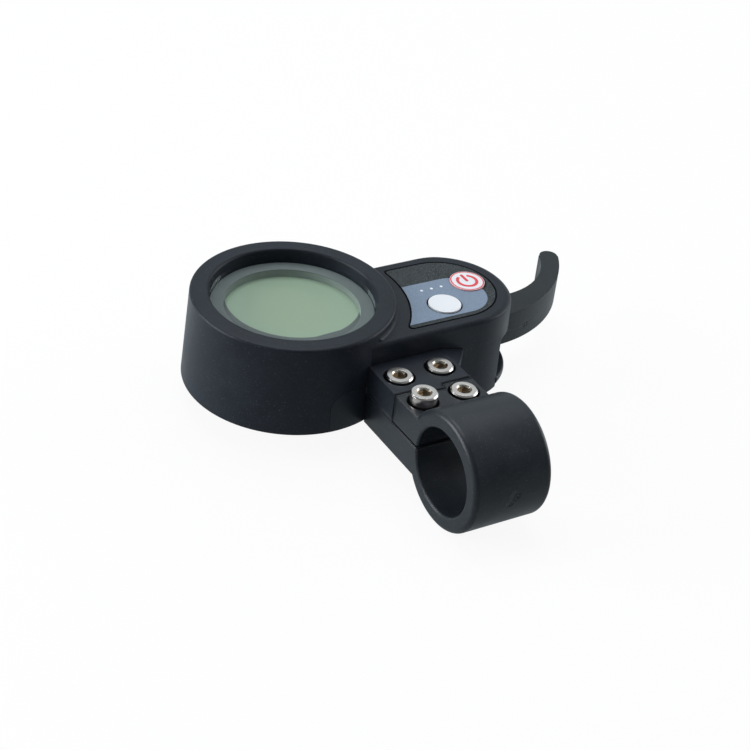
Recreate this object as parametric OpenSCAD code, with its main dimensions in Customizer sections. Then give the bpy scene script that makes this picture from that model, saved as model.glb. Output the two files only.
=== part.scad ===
// Handlebar display unit with a keypad, a finger throttle lever and a one-piece clamp.
// The origin is the centre of the clamp's bore, halfway along its width. X runs along the
// handlebar, Y from the handlebar to the display, and Z is the normal of the display's face.
// All lengths are in millimetres.

/* [Clamp] */
// Diameter of the handlebar
bar_d = 22.2; // [20:0.1:25.4]
// Radial play of the open clamp round the handlebar
bar_play = 0.15; // [0.05:0.05:0.4]
// Wall of the clamp's ring
clamp_wall = 4.25; // [3.5:0.25:6]
// Width of the clamp along the handlebar
clamp_w = 22.3; // [21:0.1:28]
// Height of the pad's top above the handlebar's axis
pad_top = 7.7; // [7:0.1:9]
// Depth of the arm's underside below the handlebar's axis
arm_drop = 8.7; // [8.5:0.1:10]
// Width of the slit between pad and arm
slit = 0.6; // [0.3:0.1:1.2]
// Depth of the arm's top below the handlebar's axis
slit_drop = 0.5; // [0.3:0.1:1]
// Rounding of the ring's outer edges
ring_edge = 1.3; // [0.5:0.1:2]
// Chamfer at the mouths of the bore
bore_chamfer = 0.4; // [0.2:0.1:1]
// Rounding where the pad runs into the ring
pad_blend = 2; // [1:0.25:3]
// Length of the pad behind the ring
pad_len = 9.65; // [9.5:0.05:14]
// Length of the lug between pad and housing
lug_len = 13.5; // [12:0.1:18]
// Width of the tongue that keys the lug into the pad
tongue_w = 4.7; // [3:0.1:5]
// How far the tongue reaches into the pad
tongue_reach = 2; // [1:0.1:2.2]
// Gap of the joint between lug and pad
joint_gap = 0.25; // [0.1:0.05:0.4]

/* [Clamp screws] */
// Thread diameter of the socket head screws
screw_d = 4; // [3:0.5:4]
// Diameter of the socket heads
head_d = 7; // [5.5:0.1:7]
// Height of the socket heads
head_h = 4; // [3:0.1:4]
// Key size of the hexagon sockets
hex_key = 3; // [2.5:0.1:3]
// Depth of the hexagon sockets
hex_depth = 2; // [1:0.1:2.5]
// How far a seated head stands out of its counterbore
head_proud = 0.7; // [0:0.1:1.5]
// How far the loosened pinch screw stands above the seated ones
loose_rise = 2.2; // [0:0.1:2.5]
// Length of the screws under the head
screw_len = 12; // [12:0.5:12.5]
// Distance between the screws across the clamp
screw_pitch = 12; // [11:0.1:13]
// Radial room round the heads
head_room = 0.6; // [0.3:0.05:0.8]
// Width across flats of the nuts
nut_af = 7; // [6:0.1:7]
// Height of the nuts
nut_h = 3.2; // [2.4:0.1:3.2]

/* [Drum] */
// How far the drum reaches to the right of the clamp's middle
drum_right = 6.95; // [6:0.05:8]
// Diameter of the drum at its rim
drum_top_d = 53.5; // [52:0.5:58]
// Growth of the drum's diameter from rim to base
drum_flare = 2; // [0.5:0.1:3]
// Height of the drum
drum_h = 25.45; // [25:0.05:30]
// Depth of the drum's base below the handlebar's axis
drum_drop = 8.65; // [8.5:0.05:10]
// Width of the rim round the display
rim_w = 5; // [4.5:0.1:5.6]
// Rounding of the rim's outer edge
rim_edge = 0.8; // [0.4:0.1:1.5]
// Rounding of the rim's inner edge
rim_lip = 0.8; // [0.4:0.1:1.1]
// Fall of the rim's top towards its outer edge
rim_fall = 0.3; // [0.1:0.1:0.6]
// Wall of the drum
wall = 2; // [1.6:0.1:2.4]

/* [Lobe] */
// Offset of the lobe's centre along the handlebar, to the right
lobe_right = 21.7; // [20:0.1:26]
// Width of the lobe at its top
lobe_w = 33.8; // [33:0.1:36]
// Growth of the lobe's width down to its base
lobe_flare = 1; // [0.2:0.1:2]
// Step down from the rim to the lobe's top
rim_step = 3.3; // [2.5:0.1:4]
// Rounding of the lobe's top edge
lobe_edge = 1.2; // [0.5:0.1:2]
// Rounding at the foot of the rim
rim_foot = 0.9; // [0.4:0.1:1.5]
// How far the lobe's base lies below the drum's base
pod_drop = 2.55; // [2:0.05:4]
// Wall of the lobe
lobe_wall = 1.8; // [1.5:0.1:2.2]
// Thickness of the lobe's top
lobe_plate = 1.8; // [1.5:0.1:2]
// How far the lobe's wall bulges past its top at the right end
end_bulge = 1.2; // [0.8:0.1:1.6]

/* [Display] */
// Depth of the lens below the rim
lens_sink = 2.4; // [1.5:0.1:3]
// Thickness of the lens
lens_t = 2; // [1.5:0.1:2.4]
// Width of the printed ring
mask_w = 3.6; // [3:0.1:4.6]
// Thickness of the printed ring and of the adhesive ring
film_t = 0.2; // [0.1:0.05:0.3]
// Thickness of the ledge that carries the lens
ledge_t = 1.4; // [1:0.1:2]
// Thickness of the display glass
glass_t = 2.2; // [1.8:0.1:2.4]
// Thickness of the backlight
backlight_t = 2.1; // [1.5:0.1:2.4]
// Thickness of the circuit boards
board_t = 1.6; // [1.2:0.1:1.8]

/* [Keypad] */
// Diameter of the mode button
mode_d = 8.7; // [7:0.1:9]
// Diameter of the power button
power_d = 9.4; // [8:0.1:10]
// Radial gap round the buttons
key_gap = 0.22; // [0.15:0.01:0.3]
// How far the buttons stand out of the label
key_proud = 0.35; // [0.2:0.05:0.5]
// Travel of the buttons
key_travel = 0.4; // [0.2:0.05:0.4]
// Thickness of the label
label_t = 0.35; // [0.2:0.05:0.5]
// Margin of the label inside the lobe's top edge
label_margin = 3; // [2.5:0.1:4]
// Distance between the indicator lights
led_pitch = 3.05; // [2.5:0.05:3.2]
// Diameter of the indicator lights
led_d = 0.8; // [0.6:0.1:1.2]
// Thickness of the keypad board
key_board_t = 1; // [0.8:0.1:1.2]

/* [Throttle] */
// Thickness of the lever
lever_t = 9.4; // [7:0.1:9.6]
// Height of the lever's top above the handlebar's axis
lever_top = 3.9; // [3.5:0.1:4.3]
// Radius of the lever's outer curve
lever_out_r = 38.4; // [37:0.1:39]
// Radius of the lever's tip
tip_r = 2.6; // [2:0.1:3]
// Diameter of the lever's hub
hub_d = 16; // [15:0.1:17]
// Diameter of the spindle
spindle_d = 5; // [4:0.1:5]
// Running clearance of the hub on the spindle, radial
hub_play = 0.04; // [0.02:0.01:0.08]
// Diameter of the spring's wire
wire_d = 0.9; // [0.7:0.05:1]
// Clear gap between the spring's turns
wire_gap = 0.45; // [0.42:0.01:0.6]
// Turns of the spring
spring_turns = 3; // [2:1:3]
// Diameter of the magnets
magnet_d = 3; // [2:0.1:3]

/* [Hidden] */

$fn = 96;
// Overrun of the cuts
over = 1;
// Fit between parts that are only laid together
fit = 0.15;
// Radial play of a screw in its thread, and of pressed-in parts
snug = 0.03;
// Points of a rounding
steps = 6;

// Clamp, seen from the handlebar's axis
bore_r = bar_d / 2 + bar_play;
ring_r = bore_r + clamp_wall;
half_w = clamp_w / 2;
pad_front = sqrt(ring_r * ring_r - pad_top * pad_top);
pad_rear = pad_front + pad_len;
pad_bottom = slit - slit_drop;
lug_front = pad_rear + joint_gap;
wall_y = lug_front + lug_len;
inside_ring = bore_r * 0.7;

// Screws and nuts of the clamp
head_seat = pad_top + head_proud - head_h;
head_r = head_d / 2;
head_bore_r = head_r + head_room;
head_chamfer = 0.35;
socket_chamfer = 0.5;
screw_r = screw_d / 2;
screw_x = screw_pitch / 2;
hole_play = 0.2;
bore_margin = 0.6;
pinch_y = pad_rear - head_bore_r - bore_margin;
bracket_share = 0.49;
bracket_y = lug_front + lug_len * bracket_share;
arm_over_nut = 2.5;
nut_top = -slit_drop - arm_over_nut;
nut_play = 0.1;

// Drum
drum_bot = -drum_drop;
rim_top = drum_h - drum_drop;
drum_top_r = drum_top_d / 2;
drum_over = 1.277;
drum_x = drum_right - drum_top_r;
drum_y = wall_y + drum_top_r - drum_over;
drum_slope = drum_flare / 2 / drum_h;
function drum_r(z) = drum_top_r + (rim_top - z) * drum_slope;
drum_bot_r = drum_r(drum_bot);
base_edge = 0.5;

// Lobe
lobe_x = lobe_right;
lobe_top = rim_top - rim_step;
pod_bot = drum_bot - pod_drop;
lobe_r = lobe_w / 2;
lobe_slope = lobe_flare / 2 / (lobe_top - pod_bot);
function lobe_half(z) = lobe_r + (lobe_top - z) * lobe_slope;
lobe_y = wall_y + lobe_half(0);
plate_bottom = lobe_top - lobe_plate;
pod_step = 1.05;
pod_x = half_w + pod_step;
rib_t = 1.6;
rib_h = 4;
seat_w = 1;
lip = 1.1;
lobe_base_edge = 0.8;
end_x = lobe_x + end_bulge;
cap_r = 2.4;
cap_turn = 20;
cap_room = 3;
cap_shift = 0.05;

// Lens and its seat
film_gap = 0.1;
lens_top = rim_top - lens_sink;
lens_bottom = lens_top - lens_t;
ledge_top = lens_bottom - 2 * film_t;
ledge_bottom = ledge_top - ledge_t;
well_draft = 0.25;
rim_in_r = drum_top_r - rim_w;
well_r = rim_in_r - well_draft;
lip_rise = 0.01;
lip_fall = rim_fall * (well_draft + rim_lip) / (rim_w + well_draft - rim_edge) - lip_rise;
lens_r = well_r - film_gap;
window_r = lens_r - mask_w;
ledge_w = 1.8;
ledge_r = lens_r - ledge_w;
core_t = 1.6;
drum_in_r = drum_r(ledge_bottom) - wall;

// Display glass, backlight and carrier
frame_gap = 0.1;
frame_top = ledge_bottom - frame_gap;
glass_sink = 0.3;
glass_top = frame_top - glass_sink;
glass_bottom = glass_top - glass_t;
glass_r = ledge_r + fit;
flat_cut = 1.2;
glass_flat = glass_r - flat_cut;
backlight_in = 1;
backlight_r = glass_r - backlight_in;
strip_room = 2.4;
backlight_flat = glass_flat - strip_room;
strip_t = 1.2;
strip_share = 0.709;
strip_half = glass_r * strip_share;
strip_y = (glass_flat + backlight_flat) / 2;
frame_floor = 1.2;
backlight_bottom = glass_bottom - backlight_t;
frame_bottom = backlight_bottom - frame_floor;
frame_room = 0.4;
frame_r = drum_r(frame_top) - wall - frame_room;

// Main board and its screws
main_top = frame_bottom - frame_gap;
main_bottom = main_top - board_t;
board_in = 0.2;
board_r = frame_r - board_in;
post_r = 2;
post_merge = 0.3;
post_at = frame_r - post_r + post_merge;
post_turns = [45, 135, 225, 315];
post_screw_r = 1.25;
post_head_r = 2.2;
post_head_h = 1.6;
post_screw_len = 6;
post_hole_over = 0.5;
cross_w = 0.5;
cross_half = 1.2;
cross_deep = 0.8;

// Parts on the main board, from the drum's centre
chip_half = 5;
chip_t = 1.4;
chip_gap = 0.1;
chip_leg_w = 0.4;
chip_leg_t = 0.7;
chip_leg_out = 1;
chip_leg_in = 0.2;
chip_leg_pitch = 1.2;
can_r = 2.5;
can_h = 5.4;
can_pitch = 6;
can_in = [3.3, -4.3];
can_turn = 135;
can_at = post_at * [cos(can_turn), sin(can_turn)] + can_in;
can_places = [can_at, can_at + [can_pitch, 0]];
coil_corner = [1, 10];
coil_w = 6;
coil_h = 3.2;
socket_size = [7, 12];
socket_off = 9;
socket_gap = 1.5;
socket_corner = [-socket_size[0] - socket_off, can_at[1] - can_r - socket_gap - socket_size[1]];
socket_h = 4.6;
socket_wall = 0.8;
socket_floor = 1;

// Rear cover
cover_t = 2;
seal_t = 0.4;
seal_w = 0.8;
cover_top = drum_bot + cover_t;
seat_z = cover_top + seal_t;
boss_r = 2.6;
boss_at = drum_bot_r - lip - boss_r;
boss_top = 1;
boss_turns = [45, 115, 180, 238];
cover_screw_r = 1.2;
cover_head_r = 2.35;
cover_head_h = 1.3;
cover_screw_len = 7.5;
screw_end_room = 0.6;
tab_reach = 10.95;
tab_top = 2.1;
tab_corner = 3.5;
tab_gap = 0.1;
gusset_w = 6.6;
gusset_len = 8;
gusset_fall = 1.7;
gusset_sink = 0.05;

// Throttle cover
pod_edge = 2.5;
pod_top_edge = 0.5;
pod_proud = 0.25;
pod_plate = 2.2;
pod_seat = pod_bot + pod_plate;
boss_h = 1;
hub_boss_top = pod_seat + boss_h;
hub_boss_margin = 0.4;
spindle_floor = 0.8;
seam = 0.5;
pod_boss_in = 1.5;
pod_boss_at = lobe_r - lobe_wall - pod_boss_in;
pod_boss_turns = [50, 283];
pod_boss_gap = 0.6;
pod_boss_h = 6.5;
pod_boss_top = pod_seat + pod_boss_h;
pod_left = pod_x + rib_t - end_x + boss_r + pod_boss_gap;
pod_boss_places = concat([[pod_left, pod_boss_at], [pod_left, -pod_boss_at]],
    [for (t = pod_boss_turns) pod_boss_at * [cos(t), sin(t)]]);

// Throttle lever, seen from its pivot, with its slot in the lobe's wall
lever_bottom = lever_top - lever_t;
slot_gap = 0.7;
slot_top = lever_top + slot_gap;
slot_corner = 1.3;
slot_from = -60.3;
slot_to = 18;
slot_spare = 20;
slot_turn = slot_from + slot_corner / lobe_r * 180 / PI;
sill_gap = 2.2;
sill_top = lever_bottom - sill_gap;
arm_front = 4.65;
arm_back = 4.5;
out_share = 0.37;
in_shares = [0.224, -0.1914];
tip_shares = [0.8294, -0.4154];
out_centre = [lever_out_r * out_share, lever_out_r - arm_front];
in_centre = out_centre + lever_out_r * in_shares;
tip_centre = out_centre + lever_out_r * tip_shares;
in_r = in_centre[1] - arm_back;
arm_start = 5;
in_turn_end = -88;
hub_r = hub_d / 2;
hub_rise = 0.4;
hub_top = lever_top + hub_rise;
neck_r = 4.2;
spindle_r = spindle_d / 2;
washer_r = 4.2;
washer_t = 0.5;
washer_gap = 0.05;
hub_bottom = hub_boss_top + washer_t + 2 * washer_gap;
clip_r = 4;
clip_t = 0.6;
clip_mouth = 2;
groove_d = 0.5;
spindle_end = 0.6;

// Spring round the hub's neck, with an upright end in the hub and one in the cover
wire_r = wire_d / 2;
coil_gap = 0.7;
spring_r = neck_r + wire_r + coil_gap;
spring_pitch = wire_d + wire_gap;
spring_low = hub_bottom + wire_r;
spring_high = spring_low + spring_turns * spring_pitch;
hub_over_spring = 0.35;
hub_body = spring_high + wire_r + hub_over_spring;
wire_bend = 1.1;
wire_play = 0.1;
tang_high = 1;
tang_low = 1.6;
bend_turn = wire_bend / spring_r * 180 / PI;

// Magnets in the hub and the sensor beside it
magnet_r = magnet_d / 2;
magnet_wall = 0.65;
magnet_at = hub_r - magnet_r - magnet_wall;
magnet_h = 3;
magnet_turns = [207, 243];
sensor_turn = 225;
sensor_w = 4;
sensor_t = 1.6;
sensor_h = 3;
sensor_gap = 0.8;
sensor_drop = 0.3;
pin_w = 0.4;
pin_pitch = 1.27;

// Keypad
mode_at = [-4.2, -6.5];
power_at = [7.5, 1];
led_at = [-3.4, 1.5];
mode_r = mode_d / 2;
power_r = power_d / 2;
led_r = led_d / 2;
led_proud = 0.05;
key_room = 3.8;
key_board_bottom = plate_bottom - key_room;
key_board_top = key_board_bottom + key_board_t;
key_board_in = 0.5;
key_board_r = lobe_r - lobe_wall - key_board_in;
key_board_share = 0.769;
key_board_left = lobe_r * key_board_share;
key_board_x = lobe_x - key_board_left;
switch_half = 2.25;
switch_h = 0.7;
plunger_r = 1;
plunger_h = 0.15;
switch_top = key_board_top + switch_h + plunger_h;
stem_gap = 0.05;
stem_bottom = switch_top + key_travel + stem_gap;
stem_r = 1.6;
flange_t = 0.6;
flange_w = 0.8;
flange_gap = 0.3;
flange_top = plate_bottom - flange_gap;
flange_bottom = flange_top - flange_t;
key_top = lobe_top + key_proud;
label_bottom = lobe_top - label_t;
label_ahead = 3.75;
label_arc = drum_top_r + label_ahead;
label_r = lobe_r - label_margin;
label_corner = 1.2;
label_fit = 0.15;
key_post_r = 1.9;
key_post_shares = [[-0.592, 0.503], [0.237, 0.68], [-0.663, -0.592]];
key_screw_r = 0.95;
key_head_r = 1.8;
key_head_h = 1.2;
key_screw_len = 3;

// Flat cable between the two boards, and the sockets it ends in
ribbon_t = 0.3;
ribbon_share = 0.2367;
ribbon_back_share = 0.059;
ribbon_half = lobe_r * ribbon_share;
ribbon_y = lobe_y + lobe_r * ribbon_back_share;
ribbon_drop = 1.2;
ribbon_low = main_bottom - ribbon_drop;
ribbon_high = key_board_bottom - ribbon_drop;
ribbon_in = 4.5;
ribbon_from = drum_x + board_r - ribbon_in;
ribbon_to = key_board_x + 4;
ribbon_bend = 1.5;
ribbon_turn = (ribbon_from + ribbon_to) / 2 - ribbon_bend;
ribbon_end_t = 2;
ribbon_end_l = 3;
ribbon_end_w = 1;

// Cable gland, from the drum's centre
gland_shares = [-0.0822, 0.4748];
gland_at = drum_top_r * gland_shares;
gland_bore_r = 2.3;
gland_neck_r = 3.4;
gland_play = 0.05;
gland_flange_r = 5;
gland_flange_t = 1.5;
gland_drop = 6;
gland_foot_r = 4.6;

// Colours
black = [0.09, 0.09, 0.1];
dark = [0.13, 0.13, 0.14];
steel = [0.78, 0.77, 0.74];
board_green = [0.05, 0.25, 0.12];
white = [0.93, 0.93, 0.92];

// Points of an arc about c, from angle a to angle b
function arc(c, r, a, b, n = steps) =
    [for (i = [0 : n]) let (t = a + (b - a) * i / n) [c[0] + r * cos(t), c[1] + r * sin(t)]];

// Half section of the lobe, from its axis outwards, between two heights with rounded edges
function lobe_section(low, low_edge, high = lobe_top, high_edge = lobe_edge, grow = 0) = concat(
    [[0, low]],
    arc([lobe_half(low) + grow - low_edge, low + low_edge], low_edge, -90, 0),
    arc([lobe_half(high) + grow - high_edge, high - high_edge], high_edge, 0, 90),
    [[0, high]]);

// Half section that draws the lobe's top edge in where its right end bulges
function cap_section() = let (
        c = [lobe_r - lobe_edge + cap_shift, lobe_top - cap_r],
        wide = lobe_r + cap_room,
        end = c + cap_r * [cos(cap_turn), sin(cap_turn)])
    concat(
        [[0, pod_bot - over], [wide, pod_bot - over], [wide, end[1] - (wide - end[0]) / tan(cap_turn)]],
        arc(c, cap_r, cap_turn, 90),
        [[0, lobe_top]]);

// Half section of the space inside the lobe
function lobe_space(low, high) = [
    [0, low], [lobe_half(low) - lobe_wall, low], [lobe_half(high) - lobe_wall, high], [0, high]];

// A half section run along X on both sides of the lobe's middle plane, drawn from its right end
module lobe_bar(from, to, half) {
    other = [for (i = [len(half) - 1 : -1 : 0]) if (half[i][0] > 0) [-half[i][0], half[i][1]]];
    translate([to, lobe_y, 0]) rotate([90, 0, -90]) linear_extrude(to - from)
        polygon(concat(half, other));
}

// The same half section turned round the lobe's right end
module lobe_end(half, x = end_x) {
    translate([x, lobe_y, 0]) rotate([0, 0, -90]) rotate_extrude(angle = 180) polygon(half);
}

module at_drum(p = [0, 0]) { translate([drum_x + p[0], drum_y + p[1], 0]) children(); }
module at_lobe(p = [0, 0]) { translate([lobe_x + p[0], lobe_y + p[1], 0]) children(); }
module at_end(p = [0, 0]) { translate([end_x + p[0], lobe_y + p[1], 0]) children(); }
module at_leds() { for (i = [-1 : 1]) at_lobe(led_at + [i * led_pitch, 0]) children(); }
module round_drum(r, turns) { for (t = turns) at_drum(r * [cos(t), sin(t)]) children(); }
module pod_places() { for (p = pod_boss_places) at_end(p) children(); }
module key_posts() { for (p = key_post_shares) at_lobe(lobe_r * p) children(); }
module pinch_places() { for (s = [-1, 1]) translate([s * screw_x, pinch_y, 0]) children(); }
module bracket_places() { for (s = [-1, 1]) translate([s * screw_x, bracket_y, 0]) children(); }

// A disc between two heights
module disc(r, low, high) { translate([0, 0, low]) cylinder(r = r, h = high - low); }

// A cone between two heights
module cone(r_low, r_high, low, high) {
    translate([0, 0, low]) cylinder(r1 = r_low, r2 = r_high, h = high - low);
}

// A ring between two heights
module ring(r_out, r_in, low, high) {
    difference() {
        disc(r_out, low, high);
        disc(r_in, low - over, high + over);
    }
}

// A box between two corners
module block(a, b) { translate(a) cube(b - a); }

// A cross cut upwards into a screw's head
module cross_slot(low, high) {
    for (t = [0, 90]) rotate([0, 0, t])
        block([-cross_half, -cross_w / 2, low - over], [cross_half, cross_w / 2, high]);
}

// Outer form of the drum
module drum_outer(grow = 0) {
    low = drum_bot - grow;
    at_drum() rotate_extrude() polygon(concat(
        [[0, low]],
        arc([drum_bot_r + grow - base_edge, low + base_edge], base_edge, -90, 0),
        arc([drum_top_r + grow - rim_edge, rim_top - rim_fall - rim_edge], rim_edge, 0, 90),
        [[well_r, rim_top], [0, rim_top]]));
}

// Space over the lens, rounded over into the rim's top
module lens_well() {
    at_drum() rotate_extrude() polygon(concat(
        [[0, ledge_top], [well_r, ledge_top]],
        arc([rim_in_r + rim_lip, rim_top - lip_fall - rim_lip], rim_lip, 180, 90),
        [[rim_in_r + rim_lip, rim_top + over], [0, rim_top + over]]));
}

// Space inside the drum, under the ledge
module drum_space() {
    at_drum() cone(drum_r(drum_bot - over) - wall, drum_in_r, drum_bot - over, ledge_bottom);
}

// The drum and the part of the lobe over the rear cover, grown by a clearance
module front_body(grow = 0) {
    drum_outer(grow);
    lobe_bar(drum_x, pod_x, lobe_section(drum_bot - grow, base_edge, grow = grow));
}

// The whole lobe with its deeper right end
module lobe_form() {
    half = lobe_section(pod_bot, lobe_base_edge);
    intersection() {
        union() {
            lobe_bar(drum_x, pod_x, lobe_section(drum_bot, base_edge));
            lobe_bar(pod_x, end_x, half);
            lobe_end(half);
        }
        union() {
            lobe_bar(drum_x, lobe_x, cap_section());
            lobe_end(cap_section(), lobe_x);
        }
    }
}

// Space inside the lobe, left clear of the rim
module lobe_cavity() {
    difference() {
        union() {
            lobe_bar(drum_x, end_x, lobe_space(pod_bot - over, plate_bottom));
            lobe_end(lobe_space(pod_bot - over, plate_bottom));
        }
        at_drum() disc(drum_in_r + core_t, ledge_bottom, rim_top);
    }
}

// Rounding at the foot of the rim, on the lobe's top
module rim_blend() {
    r = drum_r(lobe_top);
    sunk = 0.3;
    half = lobe_r - lobe_edge;
    intersection() {
        at_drum() rotate_extrude() polygon(concat(
            [[r - sunk, lobe_top - sunk], [r + rim_foot, lobe_top - sunk]],
            arc([r + rim_foot, lobe_top + rim_foot], rim_foot, 270, 180),
            [[r - sunk, lobe_top + rim_foot]]));
        block([drum_x, lobe_y - half, lobe_top - over], [lobe_x, lobe_y + half, rim_top]);
    }
}

// Outline of the wall tab and the lug's opening, seen from the front, grown by a clearance
function tab_outline(grow) = concat(
    [[-half_w - tab_reach - grow, drum_bot - over]],
    arc([-half_w - tab_reach + tab_corner, tab_top - tab_corner], tab_corner + grow, 180, 90),
    [[-half_w - grow, tab_top + grow], [-half_w - grow, pad_top + grow],
    [half_w + grow, pad_top + grow], [half_w + grow, drum_bot - over]]);

// The tab's outline run through the front wall
module tab_prism(grow = 0) {
    front = drum_y - drum_bot_r - over;
    back = wall_y + wall + fit;
    translate([0, back, 0]) rotate([90, 0, 0]) linear_extrude(back - front) polygon(tab_outline(grow));
}

// Outline of the rear cover, drawn in by a clearance
module cover_outline(inset = 0) {
    half = lobe_half(drum_bot) - lip - inset;
    translate([drum_x, drum_y]) circle(r = drum_bot_r - lip - inset);
    translate([drum_x, lobe_y - half]) square([pod_x - drum_x - inset, 2 * half]);
}

// Flat outline with a straight left edge and a round right end about x
module end_outline(left, half, x) {
    intersection() {
        union() {
            translate([left, lobe_y - half]) square([x - left, 2 * half]);
            translate([x, lobe_y]) circle(r = half);
        }
        translate([left, lobe_y - half]) square([x - left + half, 2 * half]);
    }
}

// Outline of the throttle cover's plate, drawn in by a clearance
module pod_outline(inset = 0) {
    end_outline(pod_x + rib_t + inset, lobe_half(pod_bot) - lip - inset, end_x);
}

// Sector of the lobe's right end, between two angles
module end_sector(from, to, low, high) {
    at_end() translate([0, 0, low]) linear_extrude(high - low)
        polygon(concat([[0, 0]], arc([0, 0], lobe_w, from, to, 3)));
}

// Opening for the lever, with a rounded upper corner at the front
module lever_slot() {
    low = pod_bot - over;
    intersection() {
        at_end() rotate([0, 0, slot_turn]) rotate([90, 0, 90]) linear_extrude(lobe_w)
            polygon(concat(
                [[-slot_corner, low], [lobe_w, low], [lobe_w, slot_top]],
                arc([0, slot_top - slot_corner], slot_corner, 90, 180)));
        end_sector(slot_from - slot_spare, slot_to, low - over, slot_top + over);
    }
}

// Countersunk screw that points up from a height
module cover_screw(low) {
    difference() {
        union() {
            cone(cover_head_r, cover_screw_r, low, low + cover_head_h);
            disc(cover_screw_r, low + cover_head_h, low + cover_screw_len);
        }
        cross_slot(low, low + cross_deep);
    }
}

// Hole for a countersunk screw, from below through a plate
module cover_screw_hole(low, high) {
    cone(cover_head_r + 2 * fit, cover_screw_r + fit, low - fit, low + cover_head_h);
    disc(cover_screw_r + fit, low, high + over);
}

// Outline of the label: a round right end, and a left end that follows the rim
function label_points(inset = 0) = let (
        r = label_r - inset,
        c = label_corner,
        back = lobe_y + r - c,
        front = lobe_y - r + c,
        arc_r = label_arc + inset,
        back_x = drum_x + sqrt(pow(arc_r + c, 2) - pow(back - drum_y, 2)),
        front_x = drum_x + sqrt(pow(arc_r + c, 2) - pow(front - drum_y, 2)),
        back_turn = atan2(back - drum_y, back_x - drum_x),
        front_turn = atan2(front - drum_y, front_x - drum_x))
    concat(
        arc([lobe_x, lobe_y], r, -90, 90, 24),
        arc([back_x, back], c, 90, 180 + back_turn),
        arc([drum_x, drum_y], arc_r, back_turn, front_turn, 16),
        arc([front_x, front], c, 180 + front_turn, 270));

// Openings of the keys and the lights through the lobe's top
module key_openings(low) {
    at_lobe(mode_at) disc(mode_r + key_gap, low, lobe_top + over);
    at_lobe(power_at) disc(power_r + key_gap, low, lobe_top + over);
    at_leds() disc(led_r + snug, low, lobe_top + over);
}

// Walls of the front housing, without what is fixed to them inside
module front_shell() {
    difference() {
        union() {
            drum_outer();
            lobe_form();
            rim_blend();
        }
        drum_space();
        lobe_cavity();
        at_drum() ring(drum_in_r, drum_in_r - core_t, ledge_bottom - over, lens_top);
    }
}

module front_housing() {
    color(black) difference() {
        union() {
            front_shell();
            round_drum(post_at, post_turns) disc(post_r, main_top, ledge_top);
            round_drum(boss_at, boss_turns) disc(boss_r, seat_z, boss_top);
            key_posts() disc(key_post_r, key_board_top, plate_bottom + fit);
            pod_places() disc(boss_r, pod_seat, pod_boss_top);
            intersection() {
                lobe_bar(pod_x - seat_w, pod_x + rib_t, lobe_section(pod_bot, base_edge));
                block([0, 0, pod_bot], [lobe_x, drum_y + drum_bot_r, drum_bot + rib_h]);
            }
        }
        at_drum() disc(ledge_r, ledge_bottom - over, rim_top);
        lens_well();
        translate([0, 0, label_bottom]) linear_extrude(label_t + over) polygon(label_points());
        key_openings(plate_bottom - over);
        translate([0, 0, pod_bot - over]) linear_extrude(seat_z - pod_bot + over) cover_outline();
        translate([0, 0, pod_bot - over]) linear_extrude(pod_plate + over) pod_outline();
        lever_slot();
        tab_prism(tab_gap);
        round_drum(post_at, post_turns)
            disc(post_screw_r + snug, main_top - over, main_bottom + post_screw_len + post_hole_over);
        round_drum(boss_at, boss_turns)
            disc(cover_screw_r + snug, seat_z - over, boss_top - screw_end_room);
        pod_places() disc(cover_screw_r + snug, pod_seat - over, pod_boss_top - screw_end_room);
        key_posts() disc(key_screw_r + snug, key_board_bottom, key_board_bottom + key_screw_len + fit);
    }
}

// What is hollow behind the rear cover's tab and lug
module cover_space() {
    drum_space();
    lobe_bar(drum_x, pod_x, lobe_space(drum_bot - over, plate_bottom));
}

// Brace in the corner between the lug's right side and the housing
module gusset() {
    y0 = wall_y - gusset_len;
    x0 = half_w - over;
    x1 = half_w + gusset_w;
    difference() {
        intersection() {
            translate([0, wall_y + over, 0]) rotate([90, 0, 0]) linear_extrude(gusset_len + over)
                polygon([[x0, -slit_drop], [x1, -slit_drop], [x1, pad_top - gusset_fall],
                    [half_w, pad_top - gusset_sink], [x0, pad_top - gusset_sink]]);
            translate([0, 0, -slit_drop]) linear_extrude(pad_top + slit_drop)
                polygon([[x0, y0], [half_w, y0], [x1, wall_y], [x1, wall_y + over], [x0, wall_y + over]]);
        }
        lobe_bar(drum_x, lobe_x, lobe_section(pod_bot, base_edge, grow = tab_gap));
    }
}

module rear_cover() {
    color(dark) difference() {
        union() {
            translate([0, 0, drum_bot]) linear_extrude(cover_t) cover_outline(fit);
            difference() {
                union() {
                    intersection() {
                        front_body();
                        tab_prism();
                    }
                    block([-half_w, lug_front, -slit_drop], [half_w, wall_y + wall, pad_top]);
                    block([-tongue_w / 2, lug_front - tongue_reach, -slit_drop],
                        [tongue_w / 2, wall_y, pad_top]);
                }
                cover_space();
            }
            gusset();
        }
        bracket_places() {
            disc(screw_r + hole_play, -slit_drop - over, pad_top);
            disc(head_bore_r, head_seat, pad_top + over);
        }
        round_drum(boss_at, boss_turns) cover_screw_hole(drum_bot, cover_top);
        at_drum(gland_at) disc(gland_neck_r + gland_play, drum_bot - over, cover_top + over);
    }
}

module cover_seal() {
    color(dark) translate([0, 0, cover_top]) linear_extrude(seal_t) difference() {
        cover_outline(fit);
        cover_outline(fit + seal_w);
        translate([-half_w - tab_reach - seal_w, 0])
            square([pod_x + half_w + tab_reach, wall_y + wall + over]);
    }
}

module cover_screws() { color(steel) round_drum(boss_at, boss_turns) cover_screw(drum_bot); }

module display_lens() { color([0.75, 0.8, 0.78, 0.35]) at_drum() disc(lens_r, lens_bottom, lens_top); }

module lens_mask() {
    color([0.36, 0.38, 0.39]) at_drum()
        ring(lens_r - film_gap, window_r, lens_bottom - film_t, lens_bottom);
}

module lens_gasket() {
    color(black) at_drum() ring(lens_r - film_gap, ledge_r + film_gap, ledge_top, ledge_top + film_t);
}

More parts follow.
